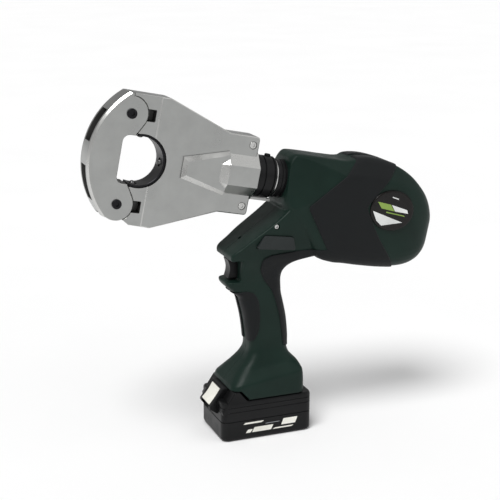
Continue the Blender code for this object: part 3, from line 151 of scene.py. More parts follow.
# Sections of the barrel, front to rear: forward, top, bottom, half width, drop of the side crease,
# its inset, how round the crease is, how round the bottom is
BARREL = (
    (-0.0290, 0.0275, -0.0270, 0.0275, 0.0130, 0.0110, 0.0060, 0.016),
    (-0.0325, 0.0312, -0.0330, 0.0315, 0.0140, 0.0115, 0.0050, 0.016),
    (-0.0380, 0.0332, -0.0400, 0.0340, 0.0150, 0.0120, 0.0040, 0.016),
    (-0.0600, 0.0337, -0.0580, 0.0355, 0.0155, 0.0125, 0.0035, 0.015),
    (-0.0820, 0.0337, -0.0800, 0.0362, 0.0160, 0.0125, 0.0035, 0.015),
    (-0.1020, 0.0345, -0.0850, 0.0365, 0.0165, 0.0125, 0.0035, 0.015),
    (-0.1170, 0.0390, -0.0850, 0.0370, 0.0200, 0.0130, 0.0040, 0.016),
    (-0.1340, 0.0405, -0.0855, 0.0370, 0.0215, 0.0130, 0.0045, 0.017),
    (-0.1550, 0.0385, -0.0855, 0.0370, 0.0205, 0.0130, 0.0050, 0.018),
    (-0.1720, 0.0345, -0.0850, 0.0365, 0.0190, 0.0130, 0.0060, 0.019),
    (-0.1900, 0.0265, -0.0835, 0.0355, 0.0170, 0.0130, 0.0080, 0.020),
    (-0.2050, 0.0160, -0.0800, 0.0335, 0.0150, 0.0120, 0.0100, 0.022),
    (-0.2160, 0.0050, -0.0735, 0.0300, 0.0130, 0.0110, 0.0100, 0.020),
    (-0.2240, -0.0080, -0.0640, 0.0240, 0.0100, 0.0090, 0.0080, 0.016),
    (-0.2290, -0.0210, -0.0530, 0.0150, 0.0060, 0.0060, 0.0050, 0.010),
)
# Sections of the handle, in runs that are each smooth:
# height, front, rear, half width, front corner, rear corner
FOOT_AND_GRIP = (
    (0.0495, -0.0460, 0.0480, 0.0372, 0.012, 0.010),
    (0.0620, -0.0450, 0.0480, 0.0371, 0.013, 0.010),
    (0.0700, -0.0428, 0.0472, 0.0366, 0.014, 0.010),
    (0.0730, -0.0410, 0.0465, 0.0352, 0.014, 0.011),
    (0.0800, -0.0340, 0.0442, 0.0298, 0.015, 0.014),
    (0.0850, -0.0275, 0.0412, 0.0265, 0.015, 0.016),
    (0.0930, -0.0180, 0.0370, 0.0240, 0.015, 0.016),
    (0.1030, -0.0138, 0.0345, 0.0208, 0.015, 0.016),
    (0.1180, -0.0142, 0.0345, 0.0192, 0.014, 0.015),
    (0.1390, -0.0170, 0.0325, 0.0190, 0.014, 0.015),
    (0.1560, -0.0208, 0.0290, 0.0190, 0.014, 0.015),
    (0.1680, -0.0248, 0.0260, 0.0190, 0.014, 0.014),
    (0.1760, -0.0350, 0.0248, 0.0188, 0.012, 0.012),
    (0.1830, -0.0420, 0.0245, 0.0188, 0.010, 0.012),
    (0.1880, -0.0427, 0.0245, 0.0190, 0.009, 0.012),
)
TRIGGER_ZONE = (
    (0.1883, -0.0270, 0.0245, 0.0192, 0.005, 0.012),
    (0.1960, -0.0270, 0.0265, 0.0205, 0.005, 0.013),
    (0.2040, -0.0270, 0.0340, 0.0228, 0.005, 0.015),
    (0.2100, -0.0270, 0.0480, 0.0250, 0.005, 0.015),
    (0.2150, -0.0270, 0.0800, 0.0266, 0.005, 0.015),
)
SHOULDER_RUN = (
    (0.2153, -0.0405, 0.0800, 0.0266, 0.004, 0.012),
    (0.2230, -0.0392, 0.0850, 0.0280, 0.004, 0.012),
    (0.2320, -0.0265, 0.0880, 0.0300, 0.0035, 0.012),
    (0.2420, -0.0130, 0.0900, 0.0320, 0.0035, 0.012),
    (0.2590, 0.0120, 0.0900, 0.0335, 0.0035, 0.012),
    (0.2760, 0.0330, 0.0880, 0.0330, 0.0035, 0.012),
)
FOOT_SHOULDER = 0.073
FOOT_SHOULDER_REACH = 0.022
FOOT_SHOULDER_SLOPE = 0.14
# The crease that runs from the wedge's tip up to the top of the barrel: forward, out, up
CREASE_TOP = (-0.0990, 0.0368, 0.0170)
CREASE_LOW = (-0.0600, 0.0352, -0.0140)
CREASE_NOSE = (-0.0330, 0.0268, 0.0060)

# Outlines seen from the side: (forward, up) in the tool frame, then (X, Z) in the row frame
SIDE_RUBBER = (
    (-0.132, 0.070), (-0.113, 0.040), (-0.097, 0.019), (-0.056, -0.024), (-0.088, -0.068),
    (-0.110, -0.100), (-0.198, -0.100), (-0.178, -0.077), (-0.151, -0.047), (-0.129, -0.015),
    (-0.147, 0.014), (-0.176, 0.055), (-0.176, 0.070),
)
GRIP_RUBBER = (
    (-0.040, 0.174), (-0.020, 0.1765), (-0.010, 0.173), (-0.0045, 0.163), (-0.003, 0.146),
    (-0.004, 0.128), (-0.009, 0.116), (-0.018, 0.110), (-0.040, 0.107),
)
BACK_RUBBER = (
    (0.006, 0.2190), (-0.003, 0.2140), (-0.004, 0.201), (0.002, 0.187), (0.011, 0.176), (0.0165, 0.162),
    (0.0215, 0.143), (0.0245, 0.125), (0.0265, 0.104), (0.060, 0.102), (0.060, 0.190), (0.0915, 0.190),
    (0.0842, 0.2036), (0.0775, 0.2162), (0.0755, 0.2210), (0.040, 0.2215),
)
RETRACT_OUTLINE = ((-0.0100, -0.0625), (-0.0455, -0.0605), (-0.0510, -0.0750), (-0.0040, -0.0790))
RETRACT_FACE = 0.0345
RETRACT_DEPTH = 0.008
LABEL_CENTRE = (-0.162, -0.0145)
LABEL_HALF_LENGTH = 0.0285
LABEL_HALF_HEIGHT = 0.0240
LABEL_FACE = 0.0394
LABEL_THICKNESS = 0.0027
SCREW_HOLE_RADIUS = 0.0034
SCREW_HEAD_RADIUS = 0.0029
SCREW_RADIUS = 0.0016
SCREW_COUNT = 6

WEDGE_HOLE = (-0.0323, 0.0, 0.2527)
WEDGE_HOLE_END = (-0.0185, 0.0, 0.2332)
WEDGE_HOLE_RADIUS = 0.0024

# Plain shapes on each label: name, colour, and corners (forward, up) from its middle
LABEL_MARKS = (
    ("upper_dash", "white", ((0.0035, 0.0165), (-0.0050, 0.0150), (-0.0050, 0.0138), (0.0035, 0.0153))),
    ("lime_streak", "lime", ((0.0215, 0.0085), (0.0040, 0.0070), (-0.0030, -0.0005), (0.0150, 0.0012))),
    ("white_streak", "white", ((0.0025, 0.0068), (-0.0190, 0.0030), (-0.0215, -0.0012), (-0.0035, -0.0004))),
    ("lower_streak", "lime", ((0.0080, -0.0018), (-0.0165, -0.0040), (-0.0180, -0.0052), (0.0080, -0.0032))),
    ("white_wedge", "white", ((0.0255, -0.0030), (-0.0160, -0.0125), (0.0110, -0.0190), (0.0185, -0.0140))),
)

# Trigger
TRIGGER_FRONT = -0.0385
TRIGGER_REAR = -0.0150
TRIGGER_LOW = 0.1905
TRIGGER_HIGH = 0.2135
TRIGGER_HALF_WIDTH = 0.0085
TRIGGER_SCOOP = 0.0035
FLANGE_HALF_WIDTH = 0.0115
TRIGGER_STEPS = 12

# Battery
BATTERY_HALF_LENGTH = 0.0565
BATTERY_HALF_WIDTH = 0.0375
BATTERY_SPLIT = 0.024
BATTERY_TOP = 0.0485
BATTERY_WALL = 0.0025
BLOCK_TOP = 0.0603
SHOULDER_LOW = (-0.0565, 0.0375)
SHOULDER_HIGH = (-0.0415, 0.0595)
SLOPE_LOW = (-0.0655, 0.0385)
SLOPE_HIGH = (-0.0495, 0.0600)
NOSE_HALF_WIDTH = 0.0185
BUTTON_LENGTH = 0.0225
BUTTON_HALF_WIDTH = 0.0122
BAY_HALF_WIDTH = 0.0235
BAY_TOP = 0.0600
BAY_REAR = 0.0440
BUTTON_PROUD = 0.0012
BUTTON_BEND = 0.0011
BUTTON_DEPTH = 0.0033
# Plain bars on both flanks: name, front, rear, low, high
BATTERY_BARS = (
    ("long", -0.031, -0.008, 0.0195, 0.0215),
    ("wide", -0.020, 0.004, 0.0085, 0.0145),
    ("slash", -0.028, -0.022, 0.0085, 0.0125),
    ("thin", 0.006, 0.030, 0.0085, 0.0100),
    ("block", 0.017, 0.035, 0.0125, 0.0200),
    ("stripe", -0.004, 0.013, 0.0170, 0.0176),
)
BAR_SLANT = 0.003

# Camera and light: places in metres, turns in degrees
CAMERA_PLACE = (-0.497, -1.251, 0.591)
CAMERA_DOWN = 15.44
CAMERA_TURN = 21.35
CAMERA_LENS = 86.4
CAMERA_SENSOR = 36
# Each sun: name, where it shines from, how wide it is, how strong
SUNS = (
    ("key_light", (-0.8, -0.7, 1.9), 28, 2.3),
    ("fill_light", (1.4, -1.0, 1.2), 60, 0.4),
)
SKY_STRENGTH = 0.38
FLOOR_HALF_WIDTH = 20.0
FLOOR_STEPS = 40


# Materials

DULL_GLOSS = 0.16
# The smallest face that gets the painted highlight on the head's chamfers
SMALLEST_HIGHLIGHT = 4e-9


class Surface:
    """A Principled material that is built up from procedural layers."""

    def __init__(self, name, colour, roughness, metallic=0.0):
        self.material = bpy.data.materials.new(name)
        self.material.use_nodes = True
        self.nodes = self.material.node_tree.nodes
        self.links = self.material.node_tree.links
        self.shader = self.nodes["Principled BSDF"]
        self.colour = colour
        self.roughness = roughness
        self.shader.inputs["Base Color"].default_value = (*colour, 1)
        self.shader.inputs["Roughness"].default_value = roughness
        self.shader.inputs["Metallic"].default_value = metallic
        if not metallic:
            self.shader.inputs["Specular IOR Level"].default_value = DULL_GLOSS
        self.place = self.nodes.new("ShaderNodeTexCoord").outputs["Object"]
        self.normal = None

    def stretched(self, scale, turn=(0, 0, 0)):
        """Object coordinates turned and scaled, for grain that runs one way."""
        mapping = self.nodes.new("ShaderNodeMapping")
        mapping.inputs["Rotation"].default_value = turn
        mapping.inputs["Scale"].default_value = scale
        self.links.new(self.place, mapping.inputs["Vector"])
        return mapping.outputs["Vector"]

    def noise(self, scale, detail=3.0, place=None, distortion=0.0):
        node = self.nodes.new("ShaderNodeTexNoise")
        node.inputs["Scale"].default_value = scale
        node.inputs["Detail"].default_value = detail
        node.inputs["Distortion"].default_value = distortion
        self.links.new(place or self.place, node.inputs["Vector"])
        return node.outputs["Fac"]

    def cells(self, scale):
        node = self.nodes.new("ShaderNodeTexVoronoi")
        node.feature = "SMOOTH_F1"
        node.inputs["Scale"].default_value = scale
        self.links.new(self.place, node.inputs["Vector"])
        return node.outputs["Distance"]

    def range(self, value, low, high, from_low=0.3, from_high=0.7):
        node = self.nodes.new("ShaderNodeMapRange")
        node.inputs["From Min"].default_value = from_low
        node.inputs["From Max"].default_value = from_high
        node.inputs["To Min"].default_value = low
        node.inputs["To Max"].default_value = high
        self.links.new(value, node.inputs["Value"])
        return node.outputs["Result"]

    def blend(self, factor, first, second):
        """One colour or the other by a factor. Either is a colour or a socket."""
        node = self.nodes.new("ShaderNodeMix")
        node.data_type = "RGBA"
        self.links.new(factor, node.inputs["Factor"])
        for socket, value in ((node.inputs["A"], first), (node.inputs["B"], second)):
            if isinstance(value, tuple):
                socket.default_value = (*value, 1)
            else:
                self.links.new(value, socket)
        return node.outputs["Result"]

    def mottle(self, factor, share):
        """The colour made a share lighter and darker by a factor from 0 to 1."""
        dark = tuple(part * (1 - share) for part in self.colour)
        light = tuple(part * (1 + share) for part in self.colour)
        self.paint(self.blend(factor, dark, light))
        return self

    def paint(self, colour):
        self.links.new(colour, self.shader.inputs["Base Color"])
        return self

    def vary_roughness(self, value, spread):
        low = max(0.02, self.roughness - spread)
        self.links.new(self.range(value, low, self.roughness + spread), self.shader.inputs["Roughness"])
        return self

    def bump(self, height, distance, strength=1.0):
        node = self.nodes.new("ShaderNodeBump")
        node.inputs["Distance"].default_value = distance
        node.inputs["Strength"].default_value = strength
        self.links.new(height, node.inputs["Height"])
        if self.normal:
            self.links.new(self.normal, node.inputs["Normal"])
        self.normal = node.outputs["Normal"]
        self.links.new(self.normal, self.shader.inputs["Normal"])
        return self

    def painted_edge_highlight(self, colour, low=0.53, high=0.60, share=0.5):
        """Painted highlight: edges made a little lighter by their pointiness, standing for light that catches
        on them.
        """
        pointiness = self.nodes.new("ShaderNodeNewGeometry").outputs["Pointiness"]
        factor = self.range(pointiness, 0, share, low, high)
        current = self.shader.inputs["Base Color"]
        base = current.links[0].from_socket if current.links else self.colour
        return self.paint(self.blend(factor, base, colour))


def machined_metal(name, colour, roughness, turn=(0, 0, 0)):
    """Ground metal: fine lines one way, faint clouding and dull patches."""
    look = Surface(name, colour, roughness, 1.0)
    lines = look.noise(900, 4, look.stretched((0.05, 1, 1), turn))
    clouds = look.noise(45, 5)
    look.mottle(look.range(clouds, 0, 1), 0.09)
    look.vary_roughness(clouds, 0.07)
    look.bump(lines, 0.00003, 0.5)
    look.bump(look.noise(2600, 2), 0.00002, 0.4)
    return look


def moulded_plastic(name, colour, roughness, grain=0.00006, edge_highlight_share=0.35):
    """Spark-textured plastic: a fine pebbled grain, with handling marks in its gloss."""
    look = Surface(name, colour, roughness)
    patches = look.noise(28, 4)
    look.mottle(look.range(patches, 0, 1), 0.14)
    look.vary_roughness(look.noise(70, 4), 0.06)
    look.bump(look.noise(3200, 2), grain, 0.8)
    # Painted highlight: the plastic's edges made lighter, standing for light caught on them.
    look.painted_edge_highlight(tuple(min(1, part * 2.2 + 0.01) for part in colour), share=edge_highlight_share)
    return look


def soft_rubber(name, colour):
    """Overmoulded rubber: a pebbled skin that scatters light, mottled with dust, and paler on its edges as a
    painted highlight.
    """
    look = Surface(name, colour, 0.62)
    dust = look.noise(60, 5)
    look.mottle(look.range(dust, 0, 1), 0.18)
    look.vary_roughness(dust, 0.08)
    look.bump(look.cells(1500), 0.00010, 0.7)
    look.bump(look.noise(4000, 2), 0.00003, 0.6)
    look.shader.inputs["Sheen Weight"].default_value = 0.06
    # Painted highlight: the rubber's edges made paler.
    look.painted_edge_highlight(tuple(part * 2.0 + 0.01 for part in colour))
    return look


def printed_film(name, colour):
    """A glossy film over a dark ground, lightly scuffed."""
    look = Surface(name, colour, 0.25)
    scuffs = look.noise(220, 5)
    look.mottle(look.range(scuffs, 0, 1), 0.35)
    look.vary_roughness(look.noise(90, 3), 0.08)
    look.shader.inputs["Coat Weight"].default_value = 0.15
    look.bump(look.noise(600, 2), 0.00002, 0.4)
    return look


def wound_copper(name, colour):
    look = Surface(name, colour, 0.35, 1.0)
    turns = look.noise(1200, 2, look.stretched((1, 0.05, 1), (0, -AXIS_TILT, 0)))
    look.mottle(look.range(turns, 0, 1), 0.25)
    look.bump(turns, 0.0001)
    return look


LOOKS = {
    "cast_aluminium": machined_metal("aluminium_satin", (0.365, 0.370, 0.362), 0.34, (0, AXIS_TILT, 0)),
    "dark_steel": machined_metal("steel_black_oxide", (0.022, 0.022, 0.024), 0.42),
    "bright_steel": machined_metal("steel_ground", (0.52, 0.52, 0.51), 0.25),
    "green_plastic": moulded_plastic("plastic_dark_green", (0.0062, 0.0175, 0.0130), 0.42),
    "black_rubber": soft_rubber("rubber_black", (0.0058, 0.0070, 0.0076)),
    "black_plastic": moulded_plastic("plastic_black", (0.0060, 0.0062, 0.0066), 0.34),
    "grey_plastic": moulded_plastic("plastic_grey", (0.022, 0.026, 0.026), 0.45),
    "pale_plastic": moulded_plastic("plastic_off_white", (0.80, 0.79, 0.72), 0.42, 0.00003, 0.1),
    "label_film": printed_film("label_dark_film", (0.0065, 0.0055, 0.0050)),
    "copper": wound_copper("copper_winding", (0.72, 0.34, 0.18)),
    "circuit_board": moulded_plastic("board_green", (0.01, 0.10, 0.04), 0.4),
    "brass": machined_metal("brass_machined", (0.60, 0.45, 0.18), 0.3),
    "cell_metal": moulded_plastic("cell_sleeve", (0.03, 0.08, 0.18), 0.4),
}
PRINT = moulded_plastic("print_silver_grey", (0.30, 0.32, 0.34), 0.4, 0.00003, 0.0)
STREAK = moulded_plastic("print_lime", (0.24, 0.36, 0.08), 0.35, 0.00002, 0.0)
WHITE_PRINT = moulded_plastic("print_white", (0.72, 0.73, 0.72), 0.35, 0.00002, 0.0)
PUNCH_STEEL = machined_metal("steel_hardened", (0.16, 0.16, 0.16), 0.35)
# A darker copy of the aluminium: painted shade for the head's pockets, its rim windows and deep inside the
# yoke.
RECESS_SHADE = machined_metal("aluminium_painted_shade", (0.115, 0.115, 0.112), 0.55)
# A lighter copy of the aluminium: a painted highlight for the head's slanting chamfer faces.
CHAMFER_HIGHLIGHT = machined_metal("aluminium_painted_highlight", (0.60, 0.60, 0.585), 0.28)
for part in frame["record"]["subparts"]:
    mesh = frame["nodes"][part["node"]].data
    mesh.materials.clear()
    mesh.materials.append(LOOKS[part["material_slot"]].material)


# Shapes


def object_of(name, shape, matrix=WORLD):
    """An object of a bmesh, with the matrix worked into its vertices."""
    bmesh.ops.recalc_face_normals(shape, faces=shape.faces)
    mesh = bpy.data.meshes.new(name)
    shape.to_mesh(mesh)
    shape.free()
    mesh.transform(matrix)
    made = bpy.data.objects.new(name, mesh)
    bpy.context.scene.collection.objects.link(made)
    return made


def skin(name, rings, matrix=WORLD):
    """A closed skin over rings of as many points each, with flat ends."""
    shape = bmesh.new()
    loops = [[shape.verts.new(point) for point in ring] for ring in rings]
    for first, second in zip(loops, loops[1:]):
        for i, corner in enumerate(first):
            j = (i + 1) % len(first)
            shape.faces.new((corner, first[j], second[j], second[i]))
    shape.faces.new(loops[0])
    shape.faces.new(loops[-1])
    return object_of(name, shape, matrix)


def plate(name, outline, low, high, matrix=WORLD):
    """An outline in XZ, extruded along Y."""
    return skin(name, [[(x, y, z) for x, z in outline] for y in (low, high)], matrix)


def chamfered_plate(name, outline, half, chamfer, matrix=WORLD):
    """A plate about the middle plane, with a chamfer round both faces."""
    inner = inset(outline, chamfer)
    rings = []
    for y, points in ((-half, inner), (chamfer - half, outline), (half - chamfer, outline), (half, inner)):
        rings.append([(x, y, z) for x, z in points])
    return skin(name, rings, matrix)


def box(name, low, high, matrix=WORLD):
    outline = ((low[0], low[2]), (high[0], low[2]), (high[0], high[2]), (low[0], high[2]))
    return plate(name, outline, low[1], high[1], matrix)


def lathe(name, profile, start, direction, matrix=WORLD, steps=64):
    """A turned piece: (distance along the axis, radius) points from the start, solid to the axis."""
    along = Vector(direction).normalized()
    side = along.orthogonal().normalized()
    other = along.cross(side)
    rings = []
    for distance, radius in profile:
        centre = Vector(start) + distance * along
        turn = [2 * math.pi * i / steps for i in range(steps)]
        rings.append([centre + radius * (math.cos(a) * side + math.sin(a) * other) for a in turn])
    return skin(name, rings, matrix)


def bar(name, start, end, radius, matrix=WORLD, steps=48):
    """A round bar between two points."""
    length = (Vector(end) - Vector(start)).length
    direction = Vector(end) - Vector(start)
    return lathe(name, ((0, radius), (length, radius)), start, direction, matrix, steps)


def cross_bar(name, place, radius, low=-FAR, high=FAR, steps=64):
    """A round bar across the tool at a (forward, up) place."""
    return bar(name, (-place[0], low, place[1]), (-place[0], high, place[1]), radius, TOOL, steps)


def inset(outline, distance):
    """The outline moved inwards by a distance, corner by corner."""
    points = [Vector(point) for point in outline]
    area = sum(a.x * b.y - b.x * a.y for a, b in zip(points, points[1:] + points[:1]))
    turn = 1 if area > 0 else -1
    moved = []
    for i, point in enumerate(points):
        before = (point - points[i - 1]).normalized()
        after = (points[(i + 1) % len(points)] - point).normalized()
        first = Vector((-before.y, before.x)) * turn
        second = Vector((-after.y, after.x)) * turn
        middle = first + second
        moved.append(point + middle * (2 * distance / max(middle.length_squared, 0.6)))
    return [tuple(point) for point in moved]


def tool_outline(points):
    return [(-forward, up) for forward, up in points]


def mirrored(points):
    return [(forward, -up) for forward, up in reversed(points)]


def arc(centre, radius, start, end, steps):
    angles = [start + (end - start) * i / steps for i in range(steps + 1)]
    return [(centre[0] + radius * math.cos(a), centre[1] + radius * math.sin(a)) for a in angles]


def soft_outline(corners, steps=6):
    """A closed outline with each (a, b, cut) corner rounded over the cut on both sides of it."""
    points = []
    for i, (a, b, wanted) in enumerate(corners):
        corner = Vector((a, b))
        before = Vector(corners[i - 1][:2]) - corner
        after = Vector(corners[(i + 1) % len(corners)][:2]) - corner
        cut = min(wanted, 0.48 * before.length, 0.48 * after.length)
        start = corner + before.normalized() * cut
        end = corner + after.normalized() * cut
        for k in range(steps + 1):
            t = k / steps
            point = start * (1 - t) ** 2 + corner * (2 * t * (1 - t)) + end * t**2
            points.append((point.x, point.y))
    return points


def rounded(outline, cut, steps=6):
    return soft_outline([(a, b, cut) for a, b in outline], steps)


def smooth_rows(rows, steps=5):
    """Rows of numbers with more rows between them, on a smooth curve through them all."""
    padded = [rows[0], *rows, rows[-1]]
    result = []
    for a, b, c, d in zip(padded, padded[1:], padded[2:], padded[3:]):
        for k in range(steps):
            t = k / steps
            result.append(tuple(curve_value(*values, t) for values in zip(a, b, c, d)))
    result.append(rows[-1])
    return result


def curve_value(a, b, c, d, t):
    """Catmull-Rom between b and c."""
    return 0.5 * (2 * b + (c - a) * t + (2 * a - 5 * b + 4 * c - d) * t**2 + (3 * b - a - 3 * c + d) * t**3)


# Changes to shapes


def settle(piece):
    """Works the piece's modifiers into its mesh."""
    graph = bpy.context.evaluated_depsgraph_get()
    mesh = bpy.data.meshes.new_from_object(piece.evaluated_get(graph))
    piece.modifiers.clear()
    piece.data = mesh
    return piece


def combine(piece, operation, others):
    for other in others:
        modifier = piece.modifiers.new(operation.lower(), "BOOLEAN")
        modifier.operation = operation
        modifier.solver = "MANIFOLD"
        modifier.object = other
        settle(piece)
        bpy.data.objects.remove(other)
    return piece


def cut(piece, *others):
    return combine(piece, "DIFFERENCE", others)


def join(piece, *others):
    return combine(piece, "UNION", others)


def keep(piece, *others):
    return combine(piece, "INTERSECT", others)


def bevel(piece, width, segments=3, angle=math.radians(28)):
    modifier = piece.modifiers.new("edges", "BEVEL")
    modifier.width = width
    modifier.segments = segments
    modifier.limit_method = "ANGLE"
    modifier.angle_limit = angle
    modifier.use_clamp_overlap = True
    modifier.harden_normals = False
    return settle(piece)


def remesh(piece, voxel, smoothing=4):
    """One even closed skin, with its creases slightly rounded."""
    modifier = piece.modifiers.new("one skin", "REMESH")
    modifier.mode = "VOXEL"
    modifier.voxel_size = voxel
    relax = piece.modifiers.new("relaxed", "SMOOTH")
    relax.factor = 0.5
    relax.iterations = smoothing
    return settle(piece)


def linked_copy(piece, name):
    copy = bpy.data.objects.new(name, piece.data.copy())
    bpy.context.scene.collection.objects.link(copy)
    return copy


def grown(piece, distance):
    """A copy of the piece, its skin moved out along its normals."""
    copy = linked_copy(piece, piece.name + "_grown")
    modifier = copy.modifiers.new("grown", "DISPLACE")
    modifier.mid_level = 0
    modifier.strength = distance
    return settle(copy)


def merged(name, *pieces):
    """The pieces as one mesh, still overlapping."""
    shape = bmesh.new()
    for piece in pieces:
        shape.from_mesh(piece.data)
        bpy.data.objects.remove(piece)
    return object_of(name, shape)


def fit_out(piece, look, body, *nodes, angle=math.radians(32), flat=True):
    """Gives a finished piece its look, its body and the CAD nodes that it stands for."""
    piece.data.materials.clear()
    piece.data.materials.append(LOOKS[look].material)
    piece.data.shade_smooth()
    piece.data.set_sharp_from_angle(angle=angle)
    if flat:
        modifier = piece.modifiers.new("flat faces", "WEIGHTED_NORMAL")
        modifier.keep_sharp = True
        settle(piece)
    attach(piece, body)
    if nodes:
        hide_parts(*nodes)
    return piece


def paint_highlight_and_shade(piece, is_in_shade):
    """Painted highlight, a lighter copy of the metal, on a head piece's slanting faces, and painted shade, a
    darker copy, where its faces pass a test.

    The test is given the middle of a face in the tool frame.
    """
    piece.data.materials.append(CHAMFER_HIGHLIGHT.material)
    piece.data.materials.append(RECESS_SHADE.material)
    back = TOOL.inverted()
    for face in piece.data.polygons:
        if 0.3 < abs(face.normal.y) < 0.94 and face.area > SMALLEST_HIGHLIGHT:
            face.material_index = 1
        if is_in_shade(*(back @ face.center)):
            face.material_index = 2


# Crimping head

UPPER_PIN = PIN
LOWER_PIN = (PIN[0], -PIN[1])
BORE_RADIUS = CRIMP_RADIUS + LINER_WALL + FIT


def on_lug_tangent(radius, up):
    """Where the straight edge that leaves the upper lug reaches a height."""
    x, z = arc(UPPER_PIN, radius, LUG_TANGENT, LUG_TANGENT, 1)[0]
    return x + (up - z) / math.tan(LUG_TANGENT + math.pi / 2), up


def half_of_frame(top, recess_start):
    """The frame's outline above the ram axis, with the recess that the yoke's lug lies in."""
    recess = LUG_RADIUS + LUG_CLEARANCE
    return [
        (HEAD_REAR + 0.002, 0.027),
        *rounded_corner((HEAD_REAR + 0.002, LUG_HALF_HEIGHT), (0, -1), (1, 0), 0.003),
        (LUG_FRONT, LUG_HALF_HEIGHT),
        (SHOULDER, HALF_HEIGHT),
        *top,
        *arc(UPPER_PIN, recess, recess_start, LUG_TANGENT, 30),
        on_lug_tangent(LUG_RADIUS + 0.0005, BORE_RADIUS),
        (CRIMP_CENTRE, BORE_RADIUS - 0.002),
    ]


def frame_outline():
    """Its upper side reaches over the yoke's lug, and its lower side stops short of the hinge."""
    upper = half_of_frame([(PIN[0], HALF_HEIGHT)], math.pi / 2)
    lower = half_of_frame([(CRIMP_CENTRE + 0.001, HALF_HEIGHT - 0.001)], math.radians(120))
    return tool_outline(upper + mirrored(lower))


def rounded_corner(corner, back, ahead, radius):
    """Three points that round a corner, given the directions back and ahead along its sides."""
    points = []
    for share_back, share_ahead in ((1, 0), (0.29, 0.29), (0, 1)):
        a = corner[0] + radius * (share_back * back[0] + share_ahead * ahead[0])
        b = corner[1] + radius * (share_back * back[1] + share_ahead * ahead[1])
        points.append((a, b))
    return points


def octagon(forward, across_flats):
    radius = across_flats / 2 / math.cos(math.pi / 8)
    turns = [(i + 0.5) * math.pi / 4 for i in range(8)]
    return [(-forward, radius * math.cos(a), radius * math.sin(a)) for a in turns]


def hub_ring(y, grow):
    """The hub's outline at a distance from the middle plane."""
    front = HUB_FRONT + grow
    nose = HUB_NOSE_HALF_HEIGHT + grow
    tail = HUB_TAIL_HALF_HEIGHT + grow
    corners = ((front, nose), (BOSS_TAPER, tail), (BOSS_TAPER, -tail), (front, -nose))
    return [(-forward, y, up) for forward, up in corners]


def indenter_bore(name, direction, reach):
    end = Vector((-CRIMP_CENTRE, 0, 0)) + reach * Vector(direction)
    return bar(name, (-CRIMP_CENTRE, 0, 0), end, INDENTER_RADIUS + FIT, TOOL)


def boss_and_hub():
    """The octagonal boss round the cylinder, the wedge ahead of it, and the rib under the boss."""
    wide = HUB_HALF_WIDTH
    steps = ((-wide, 0), (HUB_CHAMFER - wide, HUB_CHAMFER), (wide - HUB_CHAMFER, HUB_CHAMFER), (wide, 0))
    hub = skin("hub", [hub_ring(*step) for step in steps], TOOL)
    width, height = BOSS_NOSE_SHARES
    nose = [(x, y * width, z * height) for x, y, z in octagon(BOSS_TAPER + BOSS_NOSE_LENGTH, BOSS_ACROSS)]
    boss = skin("boss", [octagon(HEAD_REAR, BOSS_ACROSS), octagon(BOSS_TAPER, BOSS_ACROSS), nose], TOOL)
    return boss, hub, box("key", KEY_LOW, KEY_HIGH, TOOL)


def tongue(sign):
    """The tongue that a pin holds in the yoke's slot."""
    nose = arc((PIN[0], sign * PIN[1]), TONGUE_RADIUS, sign * math.pi / 2, -sign * math.pi / 2, 28)
    rear = CRIMP_CENTRE - 0.007
    outline = [(rear, nose[0][1]), *nose, (rear, nose[-1][1])]
    return plate("tongue", tool_outline(outline), -TONGUE_HALF_WIDTH, TONGUE_HALF_WIDTH, TOOL)


def face_step(sign):
    """What is cut from one face of the plate ahead of the step, drawn on edge."""
    face = sign * HALF_HEAD
    floor = face - sign * STEP_DEPTH
    clear = face + sign * 0.002
    start = -STEP_PLACE
    end = start - STEP_RUN
    outline = ((start, clear), (start, face), (end, floor), (-PAST_HEAD, floor), (-PAST_HEAD, clear))
    return plate("step", outline, -0.09, 0.09, TOOL @ Matrix.Rotation(math.pi / 2, 4, "X"))


def frame_bores():
    """The opening, the bores for the piston, its rod and the rear indenter, and the hinge."""
    return (
        cross_bar("crimp_bore", (CRIMP_CENTRE, 0), BORE_RADIUS, steps=96),
        bar("piston_bore", (0.01, 0, 0), (-CHAMBER_FRONT, 0, 0), PISTON_RADIUS + FIT, TOOL),
        bar("rod_bore", (-0.05, 0, 0), (-0.1145, 0, 0), ROD_RADIUS + FIT, TOOL),
        bar("rear_bore", (-0.1, 0, 0), (-0.13, 0, 0), INDENTER_RADIUS + FIT, TOOL),
        cross_bar("hinge_bore", LOWER_PIN, PIN_RADIUS + FIT),
    )


def pocket(sign, side):
    """A pocket in one face, over the upper or the lower indenter."""
    rear, front = POCKET_FORWARD
    low, high = (sign * up for up in POCKET_UP)
    corners = tool_outline(((rear, low), (front, low), (front, high), (rear, high)))
    inner = side * POCKET_FLOOR
    outer = side * (HALF_HEAD + 0.01)
    return plate("pocket", rounded(corners, POCKET_CORNER, 3), min(inner, outer), max(inner, outer), TOOL)


def in_pocket(x, y, z):
    """Whether a point in the tool frame lies within a pocket."""
    is_along = POCKET_FORWARD[0] - 0.0005 < -x < POCKET_FORWARD[1] + 0.0005
    is_level = POCKET_UP[0] - 0.001 < abs(z) < POCKET_UP[1] + 0.001
    return is_along and is_level and abs(y) < HALF_HEAD - 0.002


def lug_screw_seats(sign):
    """The bore for a lug screw, and a seat for its head and its nut."""
    screw = (LUG_SCREW[0], sign * LUG_SCREW[1])
    yield cross_bar("lug_screw_bore", screw, 0.0030)
    for side in (-1, 1):
        low, high = sorted((side * (HALF_HEAD - 0.0015), side * (HALF_HEAD + 0.005)))
        yield cross_bar("lug_screw_seat", screw, 0.0046, low, high)


def latch_notch():
    """The notch that lets the yoke swing with the latch pin still in its eye."""
    low = PIN_RADIUS + 0.0005
    front = PIN[0] + 0.03
    outline = arc(UPPER_PIN, low, math.pi / 2, 3 * math.pi / 2, 20)
    outline += [(front, PIN[1] - low - 0.0035), (front, PIN[1] + low)]
    return plate("latch_notch", tool_outline(outline), -0.03, 0.03, TOOL)


